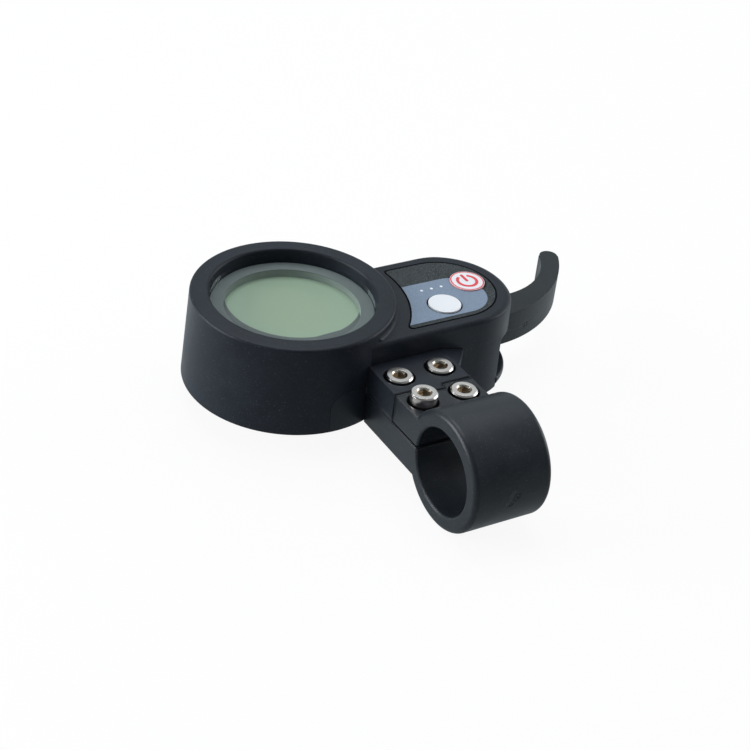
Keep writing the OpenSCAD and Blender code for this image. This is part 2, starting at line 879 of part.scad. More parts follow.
// Disc with two flats that face the front and the back
module flat_disc(r, flat, low, high) {
    intersection() {
        disc(r, low, high);
        block([-r - over, -flat, low - over], [r + over, flat, high + over]);
    }
}

module lcd_panel() {
    color([0.6, 0.67, 0.6]) at_drum() flat_disc(glass_r, glass_flat, glass_bottom, glass_top);
}

module lcd_backlight() {
    color(white) at_drum() flat_disc(backlight_r, backlight_flat, backlight_bottom, glass_bottom);
}

module strips(grow, low, high) {
    half = strip_t / 2 + grow;
    for (s = [-1, 1])
        block([-strip_half - grow, s * strip_y - half, low], [strip_half + grow, s * strip_y + half, high]);
}

module lcd_frame() {
    color(white) difference() {
        at_drum() disc(frame_r, frame_bottom, frame_top);
        at_drum() flat_disc(glass_r + fit, glass_flat + fit, glass_bottom, frame_top + over);
        at_drum() flat_disc(backlight_r + fit, backlight_flat + fit, backlight_bottom, frame_top + over);
        at_drum() strips(fit, frame_bottom - over, frame_top + over);
        round_drum(post_at, post_turns) disc(post_r + 2 * fit, frame_bottom - over, frame_top + over);
    }
}

module lcd_connector() { color([0.85, 0.5, 0.6]) at_drum() strips(0, main_top, glass_bottom); }

module main_board() {
    color(board_green) difference() {
        at_drum() disc(board_r, main_bottom, main_top);
        round_drum(post_at, post_turns) disc(post_screw_r + fit, main_bottom - over, main_top + over);
    }
}

module board_screws() {
    head_low = main_bottom - post_head_h;
    color(steel) round_drum(post_at, post_turns) difference() {
        union() {
            disc(post_head_r, head_low, main_bottom);
            disc(post_screw_r, main_bottom, main_bottom + post_screw_len);
        }
        cross_slot(head_low, head_low + cross_deep);
    }
}

module microcontroller() {
    color(black) at_drum() {
        block([-chip_half, -chip_half, main_bottom - chip_t],
            [chip_half, chip_half, main_bottom - chip_gap]);
        for (side = [0 : 90 : 270], i = [-3 : 3]) rotate([0, 0, side]) translate([0, i * chip_leg_pitch, 0])
            block([chip_half - chip_leg_in, -chip_leg_w / 2, main_bottom - chip_leg_t],
                [chip_half + chip_leg_out, chip_leg_w / 2, main_bottom]);
    }
}

module power_components() {
    color(dark) {
        for (p = can_places) at_drum(p) disc(can_r, main_bottom - can_h, main_bottom);
        at_drum(coil_corner) block([0, 0, main_bottom - coil_h], [coil_w, coil_w, main_bottom]);
    }
}

module cable_socket() {
    low = main_bottom - socket_h;
    color(white) at_drum(socket_corner) difference() {
        block([0, 0, low], [socket_size[0], socket_size[1], main_bottom]);
        block([socket_wall, socket_wall, low - over],
            [socket_size[0] - socket_wall, socket_size[1] - socket_wall, main_bottom - socket_floor]);
    }
}

module keypad_label() {
    color([0.16, 0.17, 0.18]) difference() {
        translate([0, 0, label_bottom]) linear_extrude(label_t) polygon(label_points(label_fit));
        key_openings(label_bottom - over);
    }
}

// A key: cap, retaining flange and stem
module key_cap(r) {
    disc(r, flange_top, key_top);
    disc(r + flange_w, flange_bottom, flange_top);
    disc(stem_r, stem_bottom, flange_bottom);
}

module mode_button() { color(white) at_lobe(mode_at) key_cap(mode_r); }

module power_button() { color(white) at_lobe(power_at) key_cap(power_r); }

module indicator_leds() { color(white) at_leds() disc(led_r, key_board_top, lobe_top + led_proud); }

module key_switches() {
    body_top = key_board_top + switch_h;
    color(steel) for (p = [mode_at, power_at]) at_lobe(p) {
        block([-switch_half, -switch_half, key_board_top], [switch_half, switch_half, body_top]);
        disc(plunger_r, body_top, switch_top);
    }
}

module keypad_board() {
    color(board_green) difference() {
        translate([0, 0, key_board_bottom]) linear_extrude(key_board_t)
            end_outline(key_board_x, key_board_r, lobe_x);
        key_posts() disc(key_screw_r + fit, key_board_bottom - over, key_board_top + over);
    }
}

module keypad_screws() {
    color(steel) key_posts() {
        disc(key_head_r, key_board_bottom - key_head_h, key_board_bottom);
        disc(key_screw_r, key_board_bottom, key_board_bottom + key_screw_len);
    }
}

module keypad_ribbon() {
    outer = ribbon_bend + ribbon_t;
    c1 = [ribbon_turn, ribbon_low + outer];
    c2 = [ribbon_turn + ribbon_bend + outer, ribbon_high - outer];
    color([0.75, 0.6, 0.3]) translate([0, ribbon_y + ribbon_half, 0]) rotate([90, 0, 0])
        linear_extrude(2 * ribbon_half) polygon(concat(
            [[ribbon_from, ribbon_low]],
            arc(c1, outer, -90, 0),
            arc(c2, ribbon_bend, 180, 90),
            [[ribbon_to, ribbon_high - ribbon_t], [ribbon_to, ribbon_high]],
            arc(c2, outer, 90, 180),
            arc(c1, ribbon_bend, 0, -90),
            [[ribbon_from, ribbon_low + ribbon_t]]));
}

module ribbon_sockets() {
    half = ribbon_half + ribbon_end_w;
    color(white) {
        block([ribbon_from - ribbon_end_l, ribbon_y - half, main_bottom - ribbon_end_t],
            [ribbon_from, ribbon_y + half, main_bottom]);
        block([ribbon_to, ribbon_y - half, key_board_bottom - ribbon_end_t],
            [ribbon_to + ribbon_end_l, ribbon_y + half, key_board_bottom]);
    }
}

module hall_sensor() {
    in_r = hub_r + sensor_gap;
    top = hub_top - sensor_drop;
    color(black) at_end() rotate([0, 0, sensor_turn]) {
        block([in_r, -sensor_w / 2, top - sensor_h], [in_r + sensor_t, sensor_w / 2, top]);
        for (i = [-1 : 1]) translate([in_r + sensor_t / 2, i * pin_pitch, 0])
            block([-pin_w / 2, -pin_w / 2, top - pin_w], [pin_w / 2, pin_w / 2, key_board_bottom]);
    }
}

// Plan of the lever's arm from the pivot: two arcs that close in a round tip
module arm_plan() {
    to_out = tip_centre - out_centre;
    to_in = tip_centre - in_centre;
    out_turn = atan2(to_out[1], to_out[0]);
    in_turn = atan2(to_in[1], to_in[0]);
    root_turn = asin((arm_start - out_centre[0]) / lever_out_r);
    polygon(concat(
        arc(out_centre, lever_out_r, root_turn - 90, out_turn, 32),
        arc(tip_centre, tip_r, out_turn, in_turn + 180, 10),
        arc(in_centre, in_r, in_turn, in_turn_end, 20),
        [[arm_start, arm_back]]));
}

module throttle_lever() {
    color(dark) at_end() difference() {
        union() {
            disc(hub_r, hub_body, hub_top);
            disc(neck_r, hub_bottom, hub_body);
            difference() {
                translate([0, 0, lever_bottom]) linear_extrude(lever_t) arm_plan();
                disc(hub_r, lever_bottom - over, lever_top + over);
            }
        }
        disc(spindle_r + hub_play, hub_bottom - over, hub_top + over);
        for (t = magnet_turns) rotate([0, 0, t]) translate([magnet_at, 0, 0])
            disc(magnet_r + snug, hub_top - magnet_h, hub_top + over);
        rotate([0, 0, bend_turn]) translate([spring_r, 0, 0])
            disc(wire_r + wire_play, hub_body - over, spring_high + wire_bend + tang_high + wire_play);
    }
}

module throttle_magnets() {
    color(steel) at_end() for (t = magnet_turns) rotate([0, 0, t]) translate([magnet_at, 0, 0])
        disc(magnet_r, hub_top - magnet_h, hub_top - washer_gap);
}

module throttle_spindle() {
    color(steel) at_end() difference() {
        disc(spindle_r, pod_bot + spindle_floor, hub_top + clip_t + spindle_end);
        ring(spindle_r + over, spindle_r - groove_d,
            hub_top + washer_gap, hub_top + clip_t + 3 * washer_gap);
    }
}

module spindle_clip() {
    low = hub_top + 2 * washer_gap;
    color(steel) at_end() difference() {
        ring(clip_r, spindle_r - groove_d + snug, low, low + clip_t);
        block([-clip_mouth / 2, -clip_r - over, low - over], [clip_mouth / 2, 0, low + clip_t + over]);
    }
}

module thrust_washer() {
    low = hub_boss_top + washer_gap;
    color(white) at_end() ring(washer_r, spindle_r + fit, low, low + washer_t);
}

// Point of the spring's wire at an angle and a height
function wire_point(turn, z) = [spring_r * cos(turn), spring_r * sin(turn), z];

// Route of the wire: upright end, bend, turns, bend, upright end
spring_rings = 8 * spring_turns;
spring_route = concat(
    [wire_point(-bend_turn, spring_low - wire_bend - tang_low)],
    [for (t = [0 : 30 : 60]) wire_point(-bend_turn * cos(t), spring_low - wire_bend * (1 - sin(t)))],
    [for (i = [0 : spring_rings]) wire_point(360 * spring_turns * i / spring_rings,
        spring_low + (spring_high - spring_low) * i / spring_rings)],
    [for (t = [30 : 30 : 90]) wire_point(bend_turn * sin(t), spring_high + wire_bend * (1 - cos(t)))],
    [wire_point(bend_turn, spring_high + wire_bend + tang_high)]);

// Least gap between turns: ring centres one turn apart, less the wire
spring_gap = min([for (i = [4 : spring_rings - 4]) norm(spring_route[i + 8] - spring_route[i]) - wire_d]);
echo(str("least gap between the spring's turns, mm: ", spring_gap));

// A tube of six sides swept along a route round the Z axis
module wire(route, r) {
    sides = 6;
    n = len(route);
    points = [for (i = [0 : n - 1])
        let (
            step = route[min(i + 1, n - 1)] - route[max(i - 1, 0)],
            h = step / norm(step),
            out = [route[i][0], route[i][1], 0],
            across = cross(h, out),
            v = across / norm(across),
            u = cross(v, h))
        for (k = [0 : sides - 1]) route[i] + r * cos(360 * k / sides) * u + r * sin(360 * k / sides) * v];
    walls = [for (i = [0 : n - 2], k = [0 : sides - 1])
        let (a = i * sides + k, b = i * sides + (k + 1) % sides)
        each [[a, b + sides, b], [a, a + sides, b + sides]]];
    first = [for (k = [1 : sides - 2]) [0, k, k + 1]];
    last = [for (k = [1 : sides - 2]) [(n - 1) * sides, (n - 1) * sides + k + 1, (n - 1) * sides + k]];
    polyhedron(points, concat(walls, first, last));
}

module return_spring() { color(steel) at_end() wire(spring_route, wire_r); }

module throttle_cover() {
    color(dark) difference() {
        union() {
            difference() {
                translate([0, 0, pod_bot]) linear_extrude(pod_plate) pod_outline(fit);
                end_sector(slot_from + seam, slot_to - seam, pod_bot - over, pod_seat + over);
            }
            intersection() {
                difference() {
                    lobe_end(lobe_section(pod_bot, pod_edge, sill_top, pod_top_edge, pod_proud));
                    lobe_end(lobe_space(pod_seat, sill_top + over));
                }
                end_sector(slot_from + seam, slot_to - seam, pod_bot - over, sill_top + over);
            }
            at_end() disc(washer_r + hub_boss_margin, pod_seat - over, hub_boss_top);
        }
        at_end() disc(spindle_r + snug, pod_bot + spindle_floor, hub_boss_top + over);
        at_end() rotate([0, 0, -bend_turn]) translate([spring_r, 0, 0])
            disc(wire_r + wire_play, spring_low - wire_bend - tang_low - wire_play, pod_seat + over);
        pod_places() cover_screw_hole(pod_bot, pod_seat);
    }
}

module throttle_cover_screws() { color(steel) pod_places() cover_screw(pod_bot); }

// Hexagon given by its width across flats, between two heights
module hexagon(af, low, high) { translate([0, 0, low]) cylinder(r = af / sqrt(3), h = high - low, $fn = 6); }

// Socket head screw whose head sits at a height
module socket_screw(seat) {
    top = seat + head_h;
    difference() {
        union() {
            disc(screw_r, seat - screw_len, seat);
            disc(head_r, seat, top - head_chamfer);
            cone(head_r, head_r - head_chamfer, top - head_chamfer, top);
        }
        hexagon(hex_key, top - hex_depth, top + over);
        cone(hex_key / 2, hex_key / 2 + 2 * socket_chamfer, top - socket_chamfer, top + socket_chamfer);
    }
}

module hex_nut() {
    difference() {
        hexagon(nut_af, nut_top - nut_h, nut_top);
        disc(screw_r + snug, nut_top - nut_h - over, nut_top + over);
    }
}

module pinch_screws() {
    color(steel) for (s = [-1, 1]) translate([s * screw_x, pinch_y, 0])
        socket_screw(s < 0 ? head_seat + loose_rise : head_seat);
}

module bracket_screws() { color(steel) bracket_places() socket_screw(head_seat); }

module pinch_nuts() { color(steel) pinch_places() hex_nut(); }

module bracket_nuts() { color(steel) bracket_places() hex_nut(); }

// Hole of one screw through the arm, with the pocket of its nut
module arm_hole() {
    disc(screw_r + hole_play, -arm_drop - over, -slit_drop + over);
    hexagon(nut_af + 2 * nut_play, -arm_drop - over, nut_top);
}

// The clamp's ring with rounded outer edges
module clamp_ring() {
    in_r = bore_r - over;
    translate([-half_w, 0, 0]) rotate([0, 90, 0]) rotate_extrude() polygon(concat(
        [[in_r, 0]],
        arc([ring_r - ring_edge, ring_edge], ring_edge, -90, 0),
        arc([ring_r - ring_edge, clamp_w - ring_edge], ring_edge, 0, 90),
        [[in_r, clamp_w]]));
}

// Hollow rounding where the pad runs into the ring
module pad_rounding() {
    c = [sqrt(pow(ring_r + pad_blend, 2) - pow(pad_top + pad_blend, 2)), pad_top + pad_blend];
    turn = atan2(c[1], c[0]);
    low = pad_top - pad_blend / 2;
    deep = ring_r - pad_blend / 2;
    translate([-half_w + ring_edge, 0, 0]) rotate([90, 0, 90]) linear_extrude(clamp_w - 2 * ring_edge)
        polygon(concat(
            [[deep * cos(turn), low], [c[0], low]],
            arc(c, pad_blend, 270, 180 + turn),
            [deep * [cos(turn), sin(turn)]]));
}

module handlebar_clamp() {
    color(black) difference() {
        union() {
            clamp_ring();
            pad_rounding();
            block([-half_w, inside_ring, pad_bottom], [half_w, pad_rear, pad_top]);
            difference() {
                block([-half_w, inside_ring, -arm_drop], [half_w, wall_y + wall, -slit_drop]);
                front_body(fit);
            }
        }
        translate([-half_w - over, 0, 0]) rotate([0, 90, 0]) cylinder(r = bore_r, h = clamp_w + 2 * over);
        for (s = [-90, 90]) rotate([0, s, 0])
            cone(bore_r - over, bore_r + bore_chamfer + over, half_w - bore_chamfer - over, half_w + over);
        block([-half_w - over, 0, -slit_drop], [half_w + over, pad_rear + over, pad_bottom]);
        block([-tongue_w / 2 - joint_gap, pad_rear - tongue_reach, pad_bottom - over],
            [tongue_w / 2 + joint_gap, pad_rear + over, pad_top + over]);
        pinch_places() {
            disc(screw_r + hole_play, -slit_drop, pad_top);
            disc(head_bore_r, head_seat, pad_top + over);
            arm_hole();
        }
        bracket_places() arm_hole();
    }
}

module cable_gland() {
    low = drum_bot - gland_drop;
    color(black) at_drum(gland_at) difference() {
        union() {
            disc(gland_flange_r, cover_top, cover_top + gland_flange_t);
            disc(gland_neck_r, drum_bot - fit, cover_top);
            cone(gland_neck_r, gland_foot_r, low, drum_bot - fit);
        }
        disc(gland_bore_r, low - over, cover_top + gland_flange_t + over);
    }
}

front_housing();
rear_cover();
cover_seal();
cover_screws();
display_lens();
lens_mask();
lens_gasket();
lcd_panel();
lcd_backlight();
lcd_frame();
lcd_connector();
main_board();
board_screws();
microcontroller();
power_components();
cable_socket();
keypad_label();
mode_button();
power_button();
indicator_leds();
key_switches();
keypad_board();
keypad_screws();
keypad_ribbon();
ribbon_sockets();
hall_sensor();
throttle_lever();
throttle_magnets();
throttle_spindle();
spindle_clip();
thrust_washer();
return_spring();
throttle_cover();
throttle_cover_screws();
handlebar_clamp();
pinch_screws();
pinch_nuts();
bracket_screws();
bracket_nuts();
cable_gland();
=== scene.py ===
import math

import bmesh
import bpy
from bpy.props import FloatProperty, FloatVectorProperty, IntProperty, PointerProperty
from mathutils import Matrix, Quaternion, Vector


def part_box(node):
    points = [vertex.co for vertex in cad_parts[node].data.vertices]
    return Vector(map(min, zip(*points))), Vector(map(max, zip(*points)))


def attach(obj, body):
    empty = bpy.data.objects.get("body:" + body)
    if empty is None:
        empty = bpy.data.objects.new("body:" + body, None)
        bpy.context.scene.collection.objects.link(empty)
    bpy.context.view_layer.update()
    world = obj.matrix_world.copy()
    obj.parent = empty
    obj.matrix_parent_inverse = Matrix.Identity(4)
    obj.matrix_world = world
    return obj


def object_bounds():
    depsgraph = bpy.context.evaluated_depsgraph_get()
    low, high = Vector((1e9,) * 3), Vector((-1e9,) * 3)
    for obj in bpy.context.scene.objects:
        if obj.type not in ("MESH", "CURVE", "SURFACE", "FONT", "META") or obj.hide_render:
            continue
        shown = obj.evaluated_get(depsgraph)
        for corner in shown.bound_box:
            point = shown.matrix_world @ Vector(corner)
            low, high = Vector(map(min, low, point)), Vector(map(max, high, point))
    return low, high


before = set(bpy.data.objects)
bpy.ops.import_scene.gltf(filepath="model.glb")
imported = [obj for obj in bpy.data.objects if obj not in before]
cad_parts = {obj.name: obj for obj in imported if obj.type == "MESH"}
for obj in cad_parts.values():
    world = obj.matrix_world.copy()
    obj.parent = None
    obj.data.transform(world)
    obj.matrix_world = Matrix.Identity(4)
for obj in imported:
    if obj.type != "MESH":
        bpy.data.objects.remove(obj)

bl_info = {
    "name": "Handlebar Display Unit",
    "version": (1, 0, 0),
    "blender": (4, 5, 0),
    "location": "View3D > Sidebar > Display Unit",
    "description": "Finishes, printed parts, lights and camera of a handlebar display unit",
    "category": "Object",
}

MM = 0.001
CAD_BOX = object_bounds()
WHITE = (1.0, 1.0, 1.0)

# Places read from the frame
LABEL_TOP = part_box("keypad_label")[1].z
POWER_LOW, POWER_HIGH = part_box("power_button")
LENS_LOW, LENS_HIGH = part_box("display_lens")
LEVER_LOW, LEVER_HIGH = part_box("throttle_lever")
CLAMP_LOW, CLAMP_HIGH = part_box("handlebar_clamp")
POWER_AT = (POWER_LOW + POWER_HIGH) / 2
DRUM_AT = (LENS_LOW + LENS_HIGH) / 2

# Middle of the lever's arm; its hub stands a little higher than the arm
HUB_OVER_ARM = 0.4 * MM
LEVER_MIDDLE = (LEVER_LOW.z + LEVER_HIGH.z - HUB_OVER_ARM) / 2

# Corners closer than this are one corner
SAME_PLACE = 0.0005 * MM

# The seams round the clamp's pad, as in the part
PAD_REAR = 23.15 * MM
TONGUE_HALF = 2.4 * MM
TONGUE_REACH = 2.0 * MM
SLIT_MIDDLE = -0.2 * MM
SLIT_FROM = 8.0 * MM
SLIT_TO = 36.5 * MM

# Rounding beside those seams: where it starts and ends, its depth, and its play at tongue and sides
SEAM_FROM = 0.20 * MM
SEAM_TO = 0.75 * MM
SEAM_DEPTH = 0.45 * MM
TONGUE_PLAY = 0.2 * MM
SIDE_PLAY = 0.05 * MM

# The lever's mould line fades between these distances from it
LINE_FROM = 0.03 * MM
LINE_TO = 0.16 * MM

# The foam spacer: its gap under the mask, and its wall from the window's edge
SPACER_GAP = 0.02 * MM
SPACER_FROM = 0.05 * MM
SPACER_TO = 0.7 * MM

# Marks of the moulding gates: place and radius
MARK_SHADE = (0.002, 0.002, 0.003)
RING_MARKS = (
    ((0.5 * MM, CLAMP_LOW.y, 0.5 * MM), 1.6 * MM),
    ((-0.7 * MM, CLAMP_LOW.y, -1.4 * MM), 1.2 * MM),
)
LEVER_MARKS = (
    ((47.3 * MM, 50.8 * MM, LEVER_MIDDLE), 1.3 * MM),
    ((48.2 * MM, 51.0 * MM, LEVER_MIDDLE), 1.1 * MM),
)

# The round edge of the display's face: its middle from the drum's, its radius and half its softness
FACE_ARC_AT = Vector((3.15, 5.4, 0.0)) * MM
FACE_ARC = 18.12 * MM
FACE_SOFT = 0.1 * MM

# The lens bends light this little, so that its side stays clear
LENS_IOR = 1.07

# The printed panel: its half height, the middle of its round end from the power key, and the
# radius of its left end round the drum
PANEL_HALF = 8.42 * MM
PANEL_FROM_POWER = (-6.4 * MM, -4.6 * MM)
RIM_REACH = 30.68 * MM

# Prints, and the line of painted shade along the label's edge, start a little inside what they lie on
PRINT_SUNK = 0.05 * MM
BORDER_SUNK = 0.04 * MM
BORDER_OVER_PRINT = 0.01 * MM
BORDER_INSIDE = 0.01 * MM

# Keys: gap between cap and panel, rounding of the cap, and the power key's ring, which stands a
# little out from the cap and ends a little over the label
KEY_GAP = {"mode_button": 0.42 * MM, "power_button": 0.15 * MM}
KEY_ROUNDING = 0.18 * MM
RING_OUT = 0.02 * MM
RING_WIDTH = 0.5 * MM
RING_CORNER = 0.2 * MM
RING_INK = 0.1 * MM
RING_OVER_LABEL = 0.05 * MM

# The power symbol: degrees of its open ring, and the bar's two ends above the key's middle
SYMBOL_FROM, SYMBOL_TO = 118, 422
BAR_LOW, BAR_HIGH = 0.1 * MM, 2.9 * MM

# The studio: way to its bright side, away from the camera, the floor's share of white and its depth
WHITE_SIDE = Vector((0.37, 0.53, 0.76))
FLOOR_WHITE = 0.92
FLOOR_BELOW = 0.1 * MM

# Which nodes share a finish
COVER_NODES = ("rear_cover", "throttle_cover")
RUBBER_NODES = ("cover_seal", "lens_gasket", "cable_gland")
NICKEL_NODES = ("pinch_screws", "pinch_nuts", "bracket_screws", "bracket_nuts")
STEEL_NODES = ("cover_screws", "board_screws", "keypad_screws", "throttle_cover_screws",
               "throttle_spindle", "spindle_clip", "throttle_magnets", "key_switches")
WHITE_NODES = ("lcd_backlight", "lcd_frame", "cable_socket", "ribbon_sockets", "thrust_washer")
BOARD_NODES = ("main_board", "keypad_board")
CHIP_NODES = ("microcontroller", "power_components", "hall_sensor")
KEY_NODES = ("mode_button", "power_button")


def tint(name, text, default):
    """A colour that a user may change."""
    return FloatVectorProperty(
        name=name, description=text, subtype="COLOR", size=3, min=0.0, max=1.0, default=default)


def length(name, text, default):
    """A length that a user may change, in metres."""
    return FloatProperty(
        name=name, description=text, unit="LENGTH", min=0.0, precision=5, default=default)


def brightness(name, text, default):
    """A strength of light that a user may change, where 1 is white."""
    return FloatProperty(name=name, description=text, subtype="FACTOR", min=0.0, max=2.0, default=default)


def lamp_power(name, text, default):
    """A lamp's power that a user may change."""
    return FloatProperty(name=name, description=text, unit="POWER", min=0.0, default=default)


class MouldingLooks(bpy.types.PropertyGroup):
    housing: tint("Housing", "Colour of the front housing", (0.0086, 0.0110, 0.0160))
    cover: tint("Covers", "Colour of the rear and throttle covers", (0.0086, 0.0112, 0.0165))
    clamp: tint("Clamp", "Colour of the handlebar clamp", (0.0076, 0.0100, 0.0138))
    lever: tint("Lever", "Colour of the throttle lever", (0.0120, 0.0150, 0.0175))
    rubbed: tint("Rubbed edges", "Colour of edges that hands have rubbed", (0.040, 0.042, 0.045))
    dust: tint("Dust", "Colour of fine dust", (0.30, 0.31, 0.32))
    grain: length("Grain", "Width of the moulded grain", 0.22 * MM)
    edge: length("Edge rounding", "Rounding of the moulded edges", 0.40 * MM)
    line_height: length("Mould line", "Height of the lever's mould line", 0.14 * MM)


class DisplayLooks(bpy.types.PropertyGroup):
    glass: tint("Lens", "Tint of the lens", (0.93, 0.96, 0.95))
    mask: tint("Mask", "Colour of the ring printed under the lens", (0.160, 0.176, 0.180))
    face: tint("Face", "Colour of the liquid crystal display at rest", (0.275, 0.335, 0.235))
    face_far: tint("Face at the edge", "Colour of the display towards its edge", (0.290, 0.365, 0.285))
    # Mid-grey stands in for the pale wall under the mask seen in shade: painted shade
    spacer: tint("Spacer", "Colour of the foam spacer under the mask", (0.250, 0.280, 0.260))
    reach: length("Face reach", "From the display's middle to the straight end of its face", 12.25 * MM)
    turn: FloatProperty(
        name="Face turn", description="Turn of the face's straight end", unit="ROTATION",
        default=math.radians(3.45))


class KeypadLooks(bpy.types.PropertyGroup):
    film: tint("Film", "Colour of the label's film", (0.010, 0.013, 0.015))
    speck: tint("Specks", "Colour of the film's specks", (0.13, 0.15, 0.155))
    edge_shade: tint("Outline", "Colour of the film's cut edge and the groove round it", (0.002, 0.002, 0.003))
    # Near-black painted shade on the film's cut edge and in the line along the label's edge, standing in
    # for the shadow of the recess wall
    panel: tint("Panel", "Colour of the printed panel", (0.165, 0.215, 0.290))
    key: tint("Keys", "Colour of the silicone keys", (0.70, 0.715, 0.74))
    red: tint("Red print", "Colour of the power key's print", (0.62, 0.035, 0.050))
    print_height: length("Print", "Height of the printed ink", 0.03 * MM)
    # Width of the line of painted shade along the label's edge
    border: length("Border", "Width of the black line along the label's edge", 0.34 * MM)
    symbol_radius: length("Symbol radius", "Middle radius of the power symbol", 2.6 * MM)
    symbol_width: length("Symbol stroke", "Width of the power symbol's stroke", 0.85 * MM)


class MetalLooks(bpy.types.PropertyGroup):
    nickel: tint("Nickel", "Colour of the bright screws", (0.66, 0.60, 0.57))
    nickel_deep: tint("Nickel in the sockets", "Colour in the hexagon sockets", (0.50, 0.43, 0.35))
    steel: tint("Steel", "Colour of the plain steel parts", (0.50, 0.50, 0.51))
    wire: tint("Spring wire", "Colour of the return spring", (0.42, 0.42, 0.44))


class InsideLooks(bpy.types.PropertyGroup):
    solder_mask: tint("Solder mask", "Colour of the circuit boards", (0.012, 0.085, 0.035))
    copper: tint("Tracks", "Colour of the tracks under the solder mask", (0.030, 0.170, 0.070))
    chip: tint("Chips", "Colour of the moulded packages", (0.018, 0.018, 0.019))
    white: tint("White plastic", "Colour of the carrier and sockets", (0.72, 0.72, 0.69))
    rubber: tint("Rubber", "Colour of the seals and the gland", (0.014, 0.014, 0.015))
    contact: tint("Contact strips", "Colour of the silicone contact strips", (0.55, 0.20, 0.24))
    foil: tint("Ribbon", "Colour of the flexible foil", (0.42, 0.20, 0.035))


class StageLooks(bpy.types.PropertyGroup):
    floor: tint("Floor", "Colour of the floor", (0.72, 0.72, 0.72))
    floor_size: length("Floor size", "Side of the floor", 8.0)
    top_power: lamp_power("Top lamp", "Power of the lamp above", 5.0)
    left_power: lamp_power("Left lamp", "Power of the lamp at the left", 12.0)
    right_power: lamp_power("Right lamp", "Power of the lamp at the right", 4.5)
    light: tint("Light", "Colour of the lamps and the surroundings", (0.93, 0.97, 1.0))
    sheen: tint("Reflected room", "Colour of the room in reflections", (0.85, 0.96, 1.0))
    world: brightness("World", "Strength of the surroundings behind the unit", 0.50)
    world_front: brightness("World in front", "Strength of the surroundings at the camera's side", 0.16)
    world_mirrored: brightness("Mirrored world", "Strength of the brightest place in reflections", 0.72)
    eye: FloatVectorProperty(
        name="Camera place", description="Where the camera stands", subtype="TRANSLATION", unit="LENGTH",
        precision=4, default=(-0.2412, -0.3073, 0.2830))
    aim: FloatVectorProperty(
        name="Camera aim", description="Point that the camera looks at", subtype="TRANSLATION",
        unit="LENGTH", precision=4, default=(0.0005, 0.0506, -0.0066))
    roll: FloatProperty(
        name="Camera roll", description="Turn of the camera about its axis", unit="ROTATION",
        default=math.radians(7.06))
    lens: FloatProperty(
        name="Focal length", description="Focal length of the camera", unit="CAMERA", default=94.42)


class DisplayUnit(bpy.types.PropertyGroup):
    moulding: PointerProperty(type=MouldingLooks, name="Mouldings", description="Moulded plastic")
    display: PointerProperty(type=DisplayLooks, name="Display", description="Lens and display")
    keypad: PointerProperty(type=KeypadLooks, name="Keypad", description="Label and keys")
    metal: PointerProperty(type=MetalLooks, name="Metal", description="Screws and steel parts")
    inside: PointerProperty(type=InsideLooks, name="Inside", description="Boards, seals and small parts")
    stage: PointerProperty(type=StageLooks, name="Stage", description="Floor, lights and camera")
    turns: IntProperty(
        name="Round steps", description="Steps of a full circle in printed parts", min=24, default=96)


# Shader nodes
def fill(node, inputs):
    """Sets a node's inputs; an underscore stands for a space in a name."""
    for name, value in inputs.items():
        node.inputs[name.replace("_", " ")].default_value = value
    return node


def add(tree, kind, **inputs):
    """A shader node with the named inputs set."""
    return fill(tree.nodes.new("ShaderNode" + kind), inputs)


def rgba(colour):
    """A colour with full alpha."""
    return (*colour, 1.0)


def join(tree, output, target):
    """A link from an output to an input."""
    tree.links.new(output, target)


def put(tree, value, target):
    """Sets an input to a value, or links it where the value is a socket."""
    if isinstance(value, bpy.types.NodeSocket):
        join(tree, value, target)
    else:
        target.default_value = value


def maths(tree, operation, first, second=0.0, clamp=False):
    """A Math node; a number or a socket for each value."""
    made = add(tree, "Math")
    made.operation = operation
    made.use_clamp = clamp
    put(tree, first, made.inputs[0])
    put(tree, second, made.inputs[1])
    return made.outputs[0]


def apart(tree, first, second):
    """How far two values lie apart."""
    return maths(tree, "ABSOLUTE", maths(tree, "SUBTRACT", first, second))


def between_vectors(tree, operation, first, second):
    """The number that a Vector Math node makes of two vectors or sockets."""
    made = add(tree, "VectorMath")
    made.operation = operation
    put(tree, first, made.inputs[0])
    put(tree, second, made.inputs[1])
    return made.outputs["Value"]


def choose_shader(tree, factor, first, second):
    """The first shader where the factor is 0 and the second where it is 1."""
    made = add(tree, "MixShader")
    for socket, value in zip(made.inputs, (factor, first, second)):
        join(tree, value, socket)
    return made.outputs["Shader"]


def blend_colours(tree, factor, first, second):
    """A colour between two, each a colour or a socket, by a socket's value."""
    made = add(tree, "Mix")
    made.data_type = "RGBA"
    join(tree, factor, made.inputs[0])
    for socket, value in ((made.inputs[6], first), (made.inputs[7], second)):
        if isinstance(value, bpy.types.NodeSocket):
            join(tree, value, socket)
        else:
            socket.default_value = rgba(value)
    return made.outputs[2]


def spread(tree, value, from_low, from_high, to_low, to_high):
    """A value moved from one range to another."""
    made = add(tree, "MapRange", To_Min=to_low, To_Max=to_high)
    join(tree, value, made.inputs["Value"])
    put(tree, from_low, made.inputs["From Min"])
    put(tree, from_high, made.inputs["From Max"])
    return made.outputs["Result"]


def own_place(tree):
    """The place of a point in the part's frame, in metres."""
    return add(tree, "TexCoord").outputs["Object"]


def axes_of(tree, place):
    """The three outputs X, Y and Z of a place."""
    parts = add(tree, "SeparateXYZ")
    join(tree, place, parts.inputs[0])
    return parts.outputs


def noise(tree, **inputs):
    """Noise over the part's own frame."""
    made = add(tree, "TexNoise", **inputs)
    join(tree, own_place(tree), made.inputs["Vector"])
    return made.outputs["Fac"]


